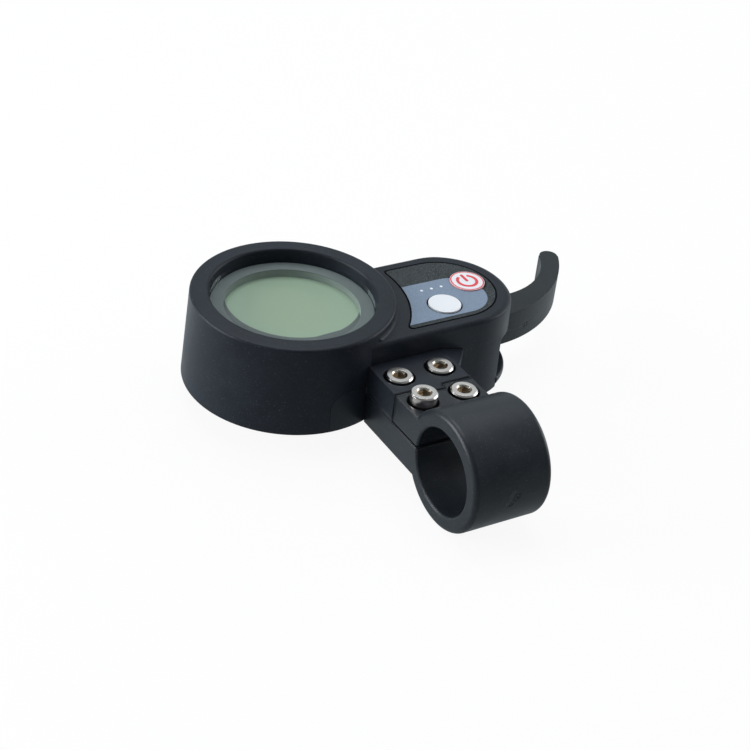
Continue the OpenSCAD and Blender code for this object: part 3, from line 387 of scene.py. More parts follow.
def draw_grain(tree, given, result):
    """Fine moulded grain: a height, a slow variation of tone and a mask of specks."""
    place = own_place(tree)
    fine = add(tree, "TexNoise", Detail=2.0, Roughness=0.6)
    slow = add(tree, "TexNoise", Detail=4.0, Roughness=0.65)
    dots = add(tree, "TexNoise", Detail=0.0)
    for texture, factor in ((fine, 1.0), (slow, 0.03), (dots, 0.8)):
        join(tree, place, texture.inputs["Vector"])
        join(tree, maths(tree, "MULTIPLY", given["Scale"], factor), texture.inputs["Scale"])
    join(tree, fine.outputs["Fac"], result["Height"])
    join(tree, slow.outputs["Fac"], result["Tone"])
    above = maths(tree, "SUBTRACT", dots.outputs["Fac"], given["Speck Level"])
    join(tree, maths(tree, "MULTIPLY", above, 25.0, clamp=True), result["Specks"])


def draw_edge_wear_and_shade(tree, given, result):
    """A mask along convex and concave edges, broken up by noise: rubbed wear on the mouldings, painted
    shade along the label's cut edge.
    """
    rounded = add(tree, "Bevel")
    rounded.samples = 4
    join(tree, given["Radius"], rounded.inputs["Radius"])
    plain = add(tree, "NewGeometry").outputs["Normal"]
    alike = between_vectors(tree, "DOT_PRODUCT", rounded.outputs["Normal"], plain)
    turned = maths(tree, "SUBTRACT", 1.0, alike)
    broken = spread(tree, noise(tree, Scale=420.0, Detail=3.0), 0.35, 0.65, 0.2, 1.0)
    strong = maths(tree, "MULTIPLY", maths(tree, "MULTIPLY", turned, 5.0), broken)
    join(tree, maths(tree, "MULTIPLY", strong, given["Amount"], clamp=True), result["Mask"])


def draw_seams(tree, given, result):
    """Low along the seams between the lug, the clamp's pad and its arm, and high away from them."""
    axes = axes_of(tree, own_place(tree))
    across = maths(tree, "ABSOLUTE", axes["X"])
    beside = maths(tree, "GREATER_THAN", across, TONGUE_HALF)
    rear = maths(tree, "ADD", PAD_REAR - TONGUE_REACH, maths(tree, "MULTIPLY", beside, TONGUE_REACH))
    behind_pad = apart(tree, axes["Y"], rear)
    from_tongue = apart(tree, axes["Y"], PAD_REAR - TONGUE_REACH / 2)
    past_tongue = maths(tree, "GREATER_THAN", from_tongue, TONGUE_REACH / 2 + TONGUE_PLAY)
    flank = maths(tree, "ADD", apart(tree, across, TONGUE_HALF), past_tongue)
    upper = maths(tree, "MINIMUM", behind_pad, flank)
    upper = maths(tree, "ADD", upper, maths(tree, "LESS_THAN", axes["Z"], SLIT_MIDDLE))
    from_slit = apart(tree, axes["Y"], (SLIT_FROM + SLIT_TO) / 2)
    past_slit = maths(tree, "GREATER_THAN", from_slit, (SLIT_TO - SLIT_FROM) / 2)
    slit = maths(tree, "ADD", apart(tree, axes["Z"], SLIT_MIDDLE), past_slit)
    past_clamp = maths(tree, "GREATER_THAN", across, CLAMP_HIGH.x + SIDE_PLAY)
    away = maths(tree, "ADD", maths(tree, "MINIMUM", upper, slit), past_clamp)
    join(tree, spread(tree, away, given["Start"], given["End"], 0.0, 1.0), result["Height"])


def draw_mark(tree, given, result):
    """The ragged mark of a moulding gate: 1 in its middle and 0 past its radius."""
    centre = add(tree, "CombineXYZ")
    for axis in "XYZ":
        join(tree, given[axis], centre.inputs[axis])
    away = between_vectors(tree, "DISTANCE", own_place(tree), centre.outputs["Vector"])
    middle = maths(tree, "MULTIPLY", given["Radius"], 0.35)
    fading = spread(tree, away, middle, given["Radius"], 1.0, 0.0)
    ragged = spread(tree, noise(tree, Scale=1800.0, Detail=3.0), 0.38, 0.48, 0.0, 1.0)
    join(tree, maths(tree, "MULTIPLY", fading, ragged), result["Mask"])


# The shared effects: what draws each, its inputs with their defaults, and its outputs
EFFECTS = {
    "Moulded Grain": (draw_grain, {"Scale": 4000.0, "Speck Level": 0.74}, ("Height", "Tone", "Specks")),
    "Edge Wear and Shade": (draw_edge_wear_and_shade, {"Radius": 0.4 * MM, "Amount": 1.0}, ("Mask",)),
    "Seam Rounding": (draw_seams, {"Start": SEAM_FROM, "End": SEAM_TO}, ("Height",)),
    "Gate Mark": (draw_mark, {"X": 0.0, "Y": 0.0, "Z": 0.0, "Radius": MM}, ("Mask",)),
}


def build_effect(name):
    """The shader group of a shared effect, with plain values as inputs and outputs."""
    draw, inputs, outputs = EFFECTS[name]
    tree = bpy.data.node_groups.new(name, "ShaderNodeTree")
    kind = "NodeSocketFloat"
    for label, default in inputs.items():
        socket = tree.interface.new_socket(name=label, in_out="INPUT", socket_type=kind)
        socket.default_value = default
    for label in outputs:
        tree.interface.new_socket(name=label, in_out="OUTPUT", socket_type=kind)
    draw(tree, tree.nodes.new("NodeGroupInput").outputs, tree.nodes.new("NodeGroupOutput").inputs)
    return tree


def use_effect(tree, name, **inputs):
    """A shared effect placed in a tree, with the named inputs set; its first use builds its group."""
    made = add(tree, "Group")
    made.node_tree = bpy.data.node_groups.get(name) or build_effect(name)
    return fill(made, inputs)


def new_material(name, roughness=0.5, metallic=0.0, specular=0.5):
    """A material with only a Principled shader: the material, its tree and the shader."""
    made = bpy.data.materials.new(name)
    made.use_nodes = True
    tree = made.node_tree
    tree.nodes.clear()
    output = tree.nodes.new("ShaderNodeOutputMaterial")
    shader = add(
        tree, "BsdfPrincipled", Roughness=roughness, Metallic=metallic, Specular_IOR_Level=specular)
    join(tree, shader.outputs["BSDF"], output.inputs["Surface"])
    return made, tree, shader


def bump(tree, shader, height, depth, radius=0.0):
    """Relief over any that the surface already has; the first may round off the edges by a radius."""
    made = add(tree, "Bump", Strength=1.0, Distance=depth)
    join(tree, height, made.inputs["Height"])
    target = shader.inputs["Normal"]
    if target.is_linked:
        join(tree, target.links[0].from_socket, made.inputs["Normal"])
    elif radius:
        rounded = add(tree, "Bevel", Radius=radius)
        rounded.samples = 6
        join(tree, rounded.outputs["Normal"], made.inputs["Normal"])
    join(tree, made.outputs["Normal"], target)


def grained(name, first, second, depth, scale, level, by="Tone", **looks):
    """A material coloured between two colours by its grain, which also raises it."""
    made, tree, shader = new_material(name, **looks)
    grain = use_effect(tree, "Moulded Grain", Scale=scale, Speck_Level=level)
    join(tree, blend_colours(tree, grain.outputs[by], first, second), shader.inputs["Base Color"])
    bump(tree, shader, grain.outputs["Height"], depth)
    return made, tree, shader, grain


def uneven_polish(tree, shader, grain, low, high):
    """Roughness that varies slowly between two values."""
    join(tree, spread(tree, grain.outputs["Tone"], 0.3, 0.7, low, high), shader.inputs["Roughness"])


def scaled(colour, factor):
    """A lighter or darker shade of a colour."""
    return tuple(factor * part for part in colour)


def cover_nodes(names, material):
    """Gives kept nodes a material in place of their own."""
    for name in names:
        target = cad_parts[name]
        target.data.materials.clear()
        target.data.materials.append(material)


# Mesh pieces
def arc_points(centre, radius, start, end, count):
    """Points on an arc in the plane of the label; angles in degrees."""
    turns = (math.radians(start + (end - start) * i / (count - 1)) for i in range(count))
    return [(centre[0] + radius * math.cos(t), centre[1] + radius * math.sin(t)) for t in turns]


def new_piece(name, mesh_maker):
    """An object whose mesh mesh_maker draws into a bmesh."""
    mesh = bpy.data.meshes.new(name)
    work = bmesh.new()
    mesh_maker(work)
    bmesh.ops.recalc_face_normals(work, faces=work.faces)
    work.to_mesh(mesh)
    work.free()
    made = bpy.data.objects.new(name, mesh)
    bpy.context.scene.collection.objects.link(made)
    return made


def draw_prism(work, outline, low, high):
    """A flat outline raised from low to high."""
    rows = [[work.verts.new((x, y, z)) for x, y in outline] for z in (low, high)]
    work.faces.new(rows[0])
    work.faces.new(rows[1])
    for i in range(len(outline)):
        after = (i + 1) % len(outline)
        work.faces.new((rows[0][i], rows[0][after], rows[1][after], rows[1][i]))


def join_rows(work, rows, whole=True):
    """Faces between rows of corners, each row a closed section, and from last to first if it's whole."""
    following = rows[1:] + rows[:1] if whole else rows[1:]
    for first, second in zip(rows, following):
        for j in range(len(first)):
            after = (j + 1) % len(first)
            work.faces.new((first[j], first[after], second[after], second[j]))


def draw_band(work, centre, profile, start, end, count):
    """A closed profile of (radius, height) points turned about an upright axis, in degrees."""
    whole = abs(end - start) >= 360
    rows = []
    for i in range(count if whole else count + 1):
        t = math.radians(start + (end - start) * i / count)
        across, ahead = math.cos(t), math.sin(t)
        rows.append([work.verts.new((centre[0] + r * across, centre[1] + r * ahead, z))
                     for r, z in profile])
    join_rows(work, rows, whole)
    if not whole:
        work.faces.new(rows[0])
        work.faces.new(rows[-1])


def round_caps(name):
    """Rounds a key's edges with modifiers, which leave its mesh as it is."""
    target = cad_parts[name]
    target.modifiers.new("Weld", "WELD").merge_threshold = SAME_PLACE
    soft = target.modifiers.new("Rounded edges", "BEVEL")
    soft.width = KEY_ROUNDING
    soft.segments = 3
    soft.limit_method = "ANGLE"
    soft.angle_limit = math.radians(30.0)
    target.modifiers.new("Even normals", "WEIGHTED_NORMAL")


def dress(piece, body, material):
    """Gives a piece its finish and the body that it rides on."""
    piece.data.materials.append(material)
    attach(piece, body)


def cut_away(piece, cutters):
    """Cuts other pieces out of a piece and deletes them."""
    for cutter in cutters:
        cut = piece.modifiers.new("Cut", "BOOLEAN")
        cut.operation = "DIFFERENCE"
        cut.solver = "EXACT"
        cut.object = cutter
    bpy.context.view_layer.update()
    shown = piece.evaluated_get(bpy.context.evaluated_depsgraph_get())
    mesh = bpy.data.meshes.new_from_object(shown)
    mesh.name = piece.name
    piece.modifiers.clear()
    piece.data = mesh
    for cutter in cutters:
        bpy.data.objects.remove(cutter)


# Finishes
def plastic(name, colour, looks, radius=1.0, roughness=0.44, specular=0.24, wear=0.5):
    """Satin moulded plastic: fine grain, rubbed edges, uneven sheen and a little dust.

    radius is the part's edge rounding as a share of the common one.
    """
    made, tree, shader = new_material(name, roughness, specular=specular)
    grain = use_effect(tree, "Moulded Grain", Scale=1.0 / looks.grain)
    edges = use_effect(tree, "Edge Wear and Shade", Radius=1.2 * radius * looks.edge, Amount=wear)
    tone = spread(tree, grain.outputs["Tone"], 0.35, 0.65, 0.0, 1.0)
    base = blend_colours(tree, tone, colour, scaled(colour, 1.35))
    base = blend_colours(tree, edges.outputs["Mask"], base, looks.rubbed)
    dusty = maths(tree, "MULTIPLY", grain.outputs["Specks"], 0.10)
    join(tree, blend_colours(tree, dusty, base, looks.dust), shader.inputs["Base Color"])
    uneven_polish(tree, shader, grain, roughness - 0.05, roughness + 0.05)
    bump(tree, shader, grain.outputs["Height"], 0.006 * MM, radius * looks.edge)
    return made, tree, shader


def add_marks(tree, shader, marks, depth):
    """Dark dents that the moulding gates left; marks are (place, radius)."""
    mask = 0.0
    for (x, y, z), radius in marks:
        mark = use_effect(tree, "Gate Mark", X=x, Y=y, Z=z, Radius=radius)
        mask = maths(tree, "MAXIMUM", mask, mark.outputs["Mask"])
    base = shader.inputs["Base Color"].links[0].from_socket
    join(tree, blend_colours(tree, mask, base, MARK_SHADE), shader.inputs["Base Color"])
    bump(tree, shader, maths(tree, "SUBTRACT", 1.0, mask), depth)


def round_seams(tree, shader):
    """Rounds off the edges along the seams round the clamp's pad."""
    bump(tree, shader, use_effect(tree, "Seam Rounding").outputs["Height"], SEAM_DEPTH)


class DISPLAYUNIT_OT_mouldings(bpy.types.Operator):
    """Finishes the housing, the covers, the clamp and the lever"""
    bl_idname = "display_unit.mouldings"
    bl_label = "Mouldings"

    def execute(self, context):
        looks = context.scene.display_unit.moulding
        cover_nodes(("front_housing",), housing_finish(looks))
        cover_nodes(COVER_NODES, cover_finish(looks))
        cover_nodes(("handlebar_clamp",), clamp_finish(looks))
        cover_nodes(("throttle_lever",), lever_finish(looks))
        return {"FINISHED"}


def housing_finish(looks):
    """Plastic of the front housing, with little wear on its rim."""
    return plastic("Housing plastic", looks.housing, looks, radius=0.6, specular=0.18, wear=0.2)[0]


def cover_finish(looks):
    """Plastic of the rear cover, rounded off where its lug meets the clamp."""
    made, tree, shader = plastic(
        "Cover plastic", looks.cover, looks, radius=1.2, roughness=0.43, specular=0.25, wear=0.0)
    round_seams(tree, shader)
    return made


def clamp_finish(looks):
    """Plastic with the two marks that the moulding gates left on the ring."""
    made, tree, shader = plastic(
        "Clamp plastic", looks.clamp, looks, radius=1.5, roughness=0.40, specular=0.33, wear=0.15)
    round_seams(tree, shader)
    add_marks(tree, shader, RING_MARKS, 0.35 * MM)
    return made


def lever_finish(looks):
    """Plastic with a mould line along the middle and the gate's mark on it."""
    made, tree, shader = plastic("Lever plastic", looks.lever, looks, roughness=0.5, wear=0.7)
    away = apart(tree, axes_of(tree, own_place(tree))["Z"], LEVER_MIDDLE)
    bump(tree, shader, spread(tree, away, LINE_FROM, LINE_TO, 1.0, 0.0), looks.line_height)
    add_marks(tree, shader, LEVER_MARKS, 0.1 * MM)
    return made


class DISPLAYUNIT_OT_display(bpy.types.Operator):
    """Finishes the lens, its printed mask and the liquid crystal display"""
    bl_idname = "display_unit.display"
    bl_label = "Display"

    def execute(self, context):
        looks = context.scene.display_unit.display
        cover_nodes(("display_lens",), lens_finish(looks))
        cover_nodes(("lens_mask",), mask_finish(looks))
        cover_nodes(("lcd_panel",), face_finish(looks))
        spacer = make_spacer(context.scene.display_unit.turns)
        # The spacer's mid-grey is painted shade of a pale wall down in the well
        dress(spacer, "housing", small_finish("Spacer foam in painted shade", looks.spacer, 0.7))
        return {"FINISHED"}


def make_spacer(turns):
    """The foam ring that stands on the display under the printed mask."""
    low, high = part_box("lcd_panel")[1].z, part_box("lens_mask")[0].z - SPACER_GAP
    inner, outer = window_radius() + SPACER_FROM, window_radius() + SPACER_TO
    profile = [(inner, low), (outer, low), (outer, high), (inner, high)]
    return new_piece("window_spacer", lambda work: draw_band(work, DRUM_AT, profile, 0, 360, turns))


def window_radius():
    """Radius of the opening in the printed mask."""
    around = (v.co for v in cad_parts["lens_mask"].data.vertices)
    return min(math.hypot(co.x - DRUM_AT.x, co.y - DRUM_AT.y) for co in around)


def lens_finish(looks):
    """Clear hard-coated plastic that lets the light through to the display."""
    made, tree, shader = new_material("Clear lens", 0.03)
    fill(shader, {"Base Color": rgba(looks.glass), "Transmission Weight": 1.0, "IOR": LENS_IOR})
    output = shader.outputs["BSDF"].links[0].to_node
    rays = add(tree, "LightPath").outputs
    clear = add(tree, "BsdfTransparent", Color=rgba(looks.glass))
    passes = maths(tree, "MAXIMUM", rays["Is Shadow Ray"], rays["Is Diffuse Ray"])
    shown = choose_shader(tree, passes, shader.outputs["BSDF"], clear.outputs["BSDF"])
    join(tree, shown, output.inputs["Surface"])
    smears = noise(tree, Scale=90.0, Detail=5.0)
    join(tree, spread(tree, smears, 0.4, 0.75, 0.02, 0.06), shader.inputs["Roughness"])
    return made


def mask_finish(looks):
    """Grey screen print with a fine even texture."""
    return grained("Mask print", scaled(looks.mask, 0.86), looks.mask, 0.004 * MM, 5200.0, 0.8,
                   by="Height")[0]


def face_finish(looks):
    """Pale green display face, a little cooler towards its edge, with a border in the mask's grey darkened
    to a painted shade.
    """
    made, tree, shader = new_material("Display face", 0.34)
    place = own_place(tree)
    away = between_vectors(tree, "DISTANCE", place, DRUM_AT)
    outward = spread(tree, away, 6.0 * MM, 19.0 * MM, 0.0, 1.0)
    cloud = spread(tree, noise(tree, Scale=60.0, Detail=2.0), 0.3, 0.7, 0.6, 1.0)
    face = blend_colours(tree, maths(tree, "MULTIPLY", outward, cloud), looks.face, looks.face_far)
    forward = Vector((math.sin(looks.turn), -math.cos(looks.turn), 0.0))
    ahead = between_vectors(tree, "DOT_PRODUCT", place, forward)
    beyond_line = soft_step(tree, ahead, forward.dot(DRUM_AT) + looks.reach)
    from_arc = between_vectors(tree, "DISTANCE", place, DRUM_AT + FACE_ARC_AT)
    border = maths(tree, "MAXIMUM", beyond_line, soft_step(tree, from_arc, FACE_ARC))
    # The border is the mask's grey at about half strength: painted shade, as of the mask in the shadow of
    # the well
    join(tree, blend_colours(tree, border, face, scaled(looks.mask, 0.48)), shader.inputs["Base Color"])
    bump(tree, shader, noise(tree, Scale=2500.0, Detail=1.0), 0.0002 * MM)
    return made


def soft_step(tree, value, edge):
    """0 below an edge and 1 above it, with the softness of the face's outline."""
    return spread(tree, value, edge - FACE_SOFT, edge + FACE_SOFT, 0.0, 1.0)


class DISPLAYUNIT_OT_keypad(bpy.types.Operator):
    """Finishes the label, prints its blue-grey panel and lays a line of painted shade along its edge"""
    bl_idname = "display_unit.keypad"
    bl_label = "Keypad"

    def execute(self, context):
        unit = context.scene.display_unit
        looks = unit.keypad
        cover_nodes(("keypad_label",), film_finish(looks))
        panel = make_panel(looks, unit.turns)
        dress(panel, "housing", panel_finish(looks))
        border = make_shade_border(looks)
        dress(border, "housing", shade_border_finish(looks))
        return {"FINISHED"}


def film_finish(looks):
    """Dark film full of fine specks, painted black along its cut edge as the shade of the recess wall."""
    made, tree, shader = new_material("Label film", 0.55, specular=0.2)
    grain = use_effect(tree, "Moulded Grain", Scale=6000.0, Speck_Level=0.56)
    pale = maths(tree, "MULTIPLY", grain.outputs["Specks"], 0.52)
    base = blend_colours(tree, pale, looks.film, looks.speck)
    # The edge mask paints the recess wall's shade on the cut edge: black, metallic and rough, so that it
    # keeps no sheen
    edge = use_effect(tree, "Edge Wear and Shade", Radius=0.55 * MM, Amount=8.0).outputs["Mask"]
    join(tree, edge, shader.inputs["Metallic"])
    join(tree, spread(tree, edge, 0.0, 1.0, 0.55, 1.0), shader.inputs["Roughness"])
    join(tree, blend_colours(tree, edge, base, looks.edge_shade), shader.inputs["Base Color"])
    bump(tree, shader, grain.outputs["Height"], 0.010 * MM)
    return made


def shade_border_finish(looks):
    """Black matt painted shade along the cut edge of the label."""
    return grained("Painted edge shade", looks.edge_shade, scaled(looks.edge_shade, 2.5), 0.003 * MM, 3000.0, 0.8,
                   roughness=0.9, specular=0.05)[0]


def label_outline():
    """The outer edge of the label's top face, as points in order."""
    work = bmesh.new()
    work.from_mesh(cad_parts["keypad_label"].data)
    bmesh.ops.remove_doubles(work, verts=work.verts, dist=SAME_PLACE)
    work.normal_update()
    upward = (face for face in work.faces if face.normal.z > 0.9)
    top = {face for face in upward if face.calc_center_median().z > LABEL_TOP - 0.05 * MM}
    beside = {}
    for edge in work.edges:
        if sum(face in top for face in edge.link_faces) == 1:
            first, second = edge.verts
            beside.setdefault(first, []).append(second)
            beside.setdefault(second, []).append(first)
    start = min(beside, key=lambda vert: vert.co.y)
    outline = [start]
    before, here = None, start
    while True:
        after = next(vert for vert in beside[here] if vert is not before)
        if after is start:
            break
        outline.append(after)
        before, here = here, after
    points = [(vert.co.x, vert.co.y) for vert in outline]
    work.free()
    return points


def make_shade_border(looks):
    """A thin line of painted shade that follows the label's edge."""
    points = label_outline()
    low = LABEL_TOP - BORDER_SUNK
    high = LABEL_TOP + looks.print_height + BORDER_OVER_PRINT
    pairs = zip(points, points[1:] + points[:1])
    side = math.copysign(1.0, sum(here[0] * after[1] - after[0] * here[1] for here, after in pairs))

    def inward(i, width):
        before, here, after = points[i - 1], points[i], points[(i + 1) % len(points)]
        along = Vector((after[0] - before[0], after[1] - before[1])).normalized()
        return here[0] - side * along.y * width, here[1] + side * along.x * width

    def draw(work):
        rows = []
        for i in range(len(points)):
            outer, inner = inward(i, BORDER_INSIDE), inward(i, looks.border)
            corners = ((outer, low), (outer, high), (inner, high), (inner, low))
            rows.append([work.verts.new((*place, z)) for place, z in corners])
        join_rows(work, rows)

    return new_piece("label_shade_border", draw)


def panel_finish(looks):
    """Blue-grey print with the film's own texture."""
    made, tree, shader = new_material("Panel print", 0.52, specular=0.35)
    grain = use_effect(tree, "Moulded Grain", Scale=5500.0, Speck_Level=0.58)
    base = blend_colours(tree, grain.outputs["Height"], scaled(looks.panel, 0.86), looks.panel)
    pale = maths(tree, "MULTIPLY", grain.outputs["Specks"], 0.50)
    join(tree, blend_colours(tree, pale, base, scaled(looks.panel, 1.35)), shader.inputs["Base Color"])
    bump(tree, shader, grain.outputs["Height"], 0.008 * MM)
    return made


def make_panel(looks, turns):
    """The panel: a round right end, straight long sides and a left end that follows the rim."""
    centre = (POWER_AT.x + PANEL_FROM_POWER[0], POWER_AT.y + PANEL_FROM_POWER[1])
    back, front = centre[1] + PANEL_HALF, centre[1] - PANEL_HALF
    back_turn = math.degrees(math.asin((back - DRUM_AT.y) / RIM_REACH))
    front_turn = math.degrees(math.asin((front - DRUM_AT.y) / RIM_REACH))
    outline = arc_points(centre, PANEL_HALF, -90, 90, turns // 2)
    outline += arc_points(DRUM_AT, RIM_REACH, back_turn, front_turn, turns // 3)
    low, high = LABEL_TOP - PRINT_SUNK, LABEL_TOP + looks.print_height
    panel = new_piece("panel_print", lambda work: draw_prism(work, outline, low, high))
    cut_away(panel, [key_cutter(name, low, high, turns) for name in KEY_NODES])
    return panel


def key_cutter(name, low, high, turns):
    """A disc that clears a key with the panel's own gap round it."""
    key_low, key_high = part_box(name)
    radius = cap_radius(name) + KEY_GAP[name]
    circle = arc_points((key_low + key_high) / 2, radius, 0, 360 * (1 - 1 / turns), turns)
    return new_piece(name + "_cutter", lambda work: draw_prism(work, circle, low - MM, high + MM))


def cap_radius(name):
    """Radius of a key's cap: its widest distance from the axis above the label."""
    key_low, key_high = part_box(name)
    centre = (key_low + key_high) / 2
    above = [v.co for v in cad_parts[name].data.vertices if v.co.z > LABEL_TOP]
    return max(math.hypot(co.x - centre.x, co.y - centre.y) for co in above)


class DISPLAYUNIT_OT_keys(bpy.types.Operator):
    """Finishes the two keys and the indicator lights and prints the power key's ring and symbol"""
    bl_idname = "display_unit.keys"
    bl_label = "Keys"

    def execute(self, context):
        unit = context.scene.display_unit
        looks = unit.keypad
        cover_nodes(KEY_NODES, key_finish(looks))
        cover_nodes(("indicator_leds",), light_finish(looks))
        for name in KEY_NODES:
            round_caps(name)
        red = ink_finish(looks)
        for make in (make_key_ring, make_symbol_arc, make_symbol_bar):
            dress(make(looks, unit.turns), "power_key", red)
        return {"FINISHED"}


def key_finish(looks):
    """White silicone, slightly soft to the light."""
    made, _, shader, _ = grained(
        "Key silicone", scaled(looks.key, 0.93), looks.key, 0.003 * MM, 2600.0, 0.76,
        roughness=0.42, specular=0.4)
    fill(shader, {"Subsurface Weight": 0.12, "Subsurface Radius": (0.6, 0.6, 0.6),
                  "Subsurface Scale": 0.5 * MM})
    return made


def light_finish(looks):
    """Milky lens of an indicator light, unlit."""
    return grained("Indicator light", looks.key, scaled(looks.key, 1.04), 0.002 * MM, 3000.0, 0.8,
                   roughness=0.3)[0]


def ink_finish(looks):
    """Red ink, slightly uneven where it lies thinner."""
    made, tree, shader = new_material("Red ink", 0.4, specular=0.4)
    grain = use_effect(tree, "Moulded Grain", Scale=2600.0, Speck_Level=0.8)
    thin = tuple(0.75 * part + 0.08 for part in looks.red)
    uneven = spread(tree, grain.outputs["Height"], 0.45, 0.8, 0.0, 0.5)
    join(tree, blend_colours(tree, uneven, looks.red, thin), shader.inputs["Base Color"])
    bump(tree, shader, grain.outputs["Height"], 0.003 * MM)
    return made


def make_key_ring(looks, turns):
    """The ring that is printed round the edge of the power key."""
    outer = cap_radius("power_button") + RING_OUT
    inner = outer - RING_WIDTH
    top = POWER_HIGH.z + looks.print_height
    side = LABEL_TOP + RING_OVER_LABEL
    bevel = 0.3 * RING_CORNER
    profile = [(inner, top), (outer - RING_CORNER, top), (outer - bevel, top - bevel),
               (outer, top - RING_CORNER), (outer, side), (outer - RING_INK, side),
               (inner, POWER_HIGH.z - RING_INK)]
    return new_piece("power_ring", lambda work: draw_band(work, POWER_AT, profile, 0, 360, turns))


def symbol_heights(looks):
    """Where the symbol's ink starts, inside the key's top, and where it ends."""
    return POWER_HIGH.z - PRINT_SUNK, POWER_HIGH.z + looks.print_height


def make_symbol_arc(looks, turns):
    """The power symbol's open ring."""
    low, high = symbol_heights(looks)
    half = looks.symbol_width / 2
    inner, outer = looks.symbol_radius - half, looks.symbol_radius + half
    profile = [(inner, low), (outer, low), (outer, high), (inner, high)]
    return new_piece("power_symbol_arc", lambda work: draw_band(
        work, POWER_AT, profile, SYMBOL_FROM, SYMBOL_TO, turns))


def make_symbol_bar(looks, turns):
    """The power symbol's upright bar, with round ends."""
    low, high = symbol_heights(looks)
    half = looks.symbol_width / 2
    outline = arc_points((POWER_AT.x, POWER_AT.y + BAR_HIGH), half, 0, 180, turns // 6)
    outline += arc_points((POWER_AT.x, POWER_AT.y + BAR_LOW), half, 180, 360, turns // 6)
    return new_piece("power_symbol_bar", lambda work: draw_prism(work, outline, low, high))


class DISPLAYUNIT_OT_metal(bpy.types.Operator):
    """Finishes the bright clamp screws, the plain steel parts and the spring"""
    bl_idname = "display_unit.metal"
    bl_label = "Metal"

    def execute(self, context):
        looks = context.scene.display_unit.metal
        cover_nodes(NICKEL_NODES, nickel_finish(looks))
        cover_nodes(STEEL_NODES, metal_finish("Plain steel", looks.steel, 0.34))
        cover_nodes(("return_spring",), metal_finish("Spring wire", looks.wire, 0.30))
        return {"FINISHED"}


def metal_finish(name, colour, roughness):
    """Bare metal with fine scratches and uneven polish."""
    made, tree, shader, grain = grained(
        name, scaled(colour, 0.82), colour, 0.002 * MM, 2200.0, 0.7, roughness=roughness, metallic=1.0)
    uneven_polish(tree, shader, grain, roughness - 0.06, roughness + 0.08)
    return made


def nickel_finish(looks):
    """Bright nickel, browner down in the hexagon sockets."""
    made, tree, shader = new_material("Bright nickel", 0.16, metallic=1.0)
    grain = use_effect(tree, "Moulded Grain", Scale=1800.0, Speck_Level=0.7)
    inner = add(tree, "AmbientOcclusion", Distance=4.0 * MM)
    inner.samples = 8
    inner.only_local = True
    brown = spread(tree, inner.outputs["AO"], 0.72, 0.98, 1.0, 0.0)
    join(tree, blend_colours(tree, brown, looks.nickel, looks.nickel_deep), shader.inputs["Base Color"])
    uneven_polish(tree, shader, grain, 0.12, 0.24)
    bump(tree, shader, grain.outputs["Height"], 0.003 * MM, 0.07 * MM)
    return made


class DISPLAYUNIT_OT_inside(bpy.types.Operator):
    """Finishes the boards, chips, carrier, seals and ribbon"""
    bl_idname = "display_unit.inside"
    bl_label = "Inside"

    def execute(self, context):
        looks = context.scene.display_unit.inside
        cover_nodes(BOARD_NODES, board_finish(looks))
        cover_nodes(CHIP_NODES, small_finish("Chip moulding", looks.chip, 0.55))
        cover_nodes(WHITE_NODES, small_finish("White plastic", looks.white, 0.45))
        cover_nodes(RUBBER_NODES, small_finish("Seal rubber", looks.rubber, 0.8))
        cover_nodes(("lcd_connector",), small_finish("Contact silicone", looks.contact, 0.6))
        cover_nodes(("keypad_ribbon",), small_finish("Flexible foil", looks.foil, 0.25))
        return {"FINISHED"}


def small_finish(name, colour, roughness):
    """A plain moulded or pressed finish with fine grain and uneven tone."""
    made, tree, shader, grain = grained(
        name, scaled(colour, 0.8), colour, 0.006 * MM, 2800.0, 0.75, roughness=roughness, specular=0.4)
    uneven_polish(tree, shader, grain, roughness - 0.06, roughness + 0.06)
    return made


def board_finish(looks):
    """Solder mask over fine tracks."""
    made, tree, shader = new_material("Solder mask", 0.3)
    green = rgba(looks.solder_mask)
    tracks = add(tree, "TexBrick", Color1=green, Color2=green, Mortar=rgba(looks.copper), Scale=420.0,
                 Mortar_Size=0.07)
    join(tree, own_place(tree), tracks.inputs["Vector"])
    join(tree, tracks.outputs["Color"], shader.inputs["Base Color"])
    bump(tree, shader, tracks.outputs["Fac"], 0.02 * MM)
    return made


class DISPLAYUNIT_OT_stage(bpy.types.Operator):
    """Sets the floor, the lights, the surroundings and the camera"""
    bl_idname = "display_unit.stage"
    bl_label = "Stage"

    def execute(self, context):
        looks = context.scene.display_unit.stage
        context.scene.view_settings.view_transform = "Standard"
        make_floor(looks)
        make_world(context.scene, looks)
        aim = Vector(looks.aim)
        lamps = (
            ("Top lamp", looks.top_power, 0.70, (0.05, 0.30, 0.90)),
            ("Left lamp", looks.left_power, 0.60, (-0.80, 0.35, 0.20)),
            ("Right lamp", looks.right_power, 0.60, (0.85, -0.15, 0.20)),
        )
        for name, power, size, away in lamps:
            add_lamp(name, looks.light, power, size, aim + Vector(away), aim)
        make_camera(context.scene, looks)
        return {"FINISHED"}


def shown_room(tree, kind, sheen, mirrored):
    """A white light for the camera, tinted and as strong as mirrored in reflections; and who sees it."""
    rays = add(tree, "LightPath").outputs
    glossy = rays["Is Glossy Ray"]
    made = add(tree, kind)
    join(tree, blend_colours(tree, glossy, WHITE, sheen), made.inputs["Color"])
    direct = maths(tree, "SUBTRACT", 1.0, glossy)
    join(tree, maths(tree, "MAXIMUM", mirrored, direct), made.inputs["Strength"])
    seen = maths(tree, "MAXIMUM", rays["Is Camera Ray"], rays["Is Transmission Ray"])
    return made.outputs[0], maths(tree, "MAXIMUM", seen, glossy)


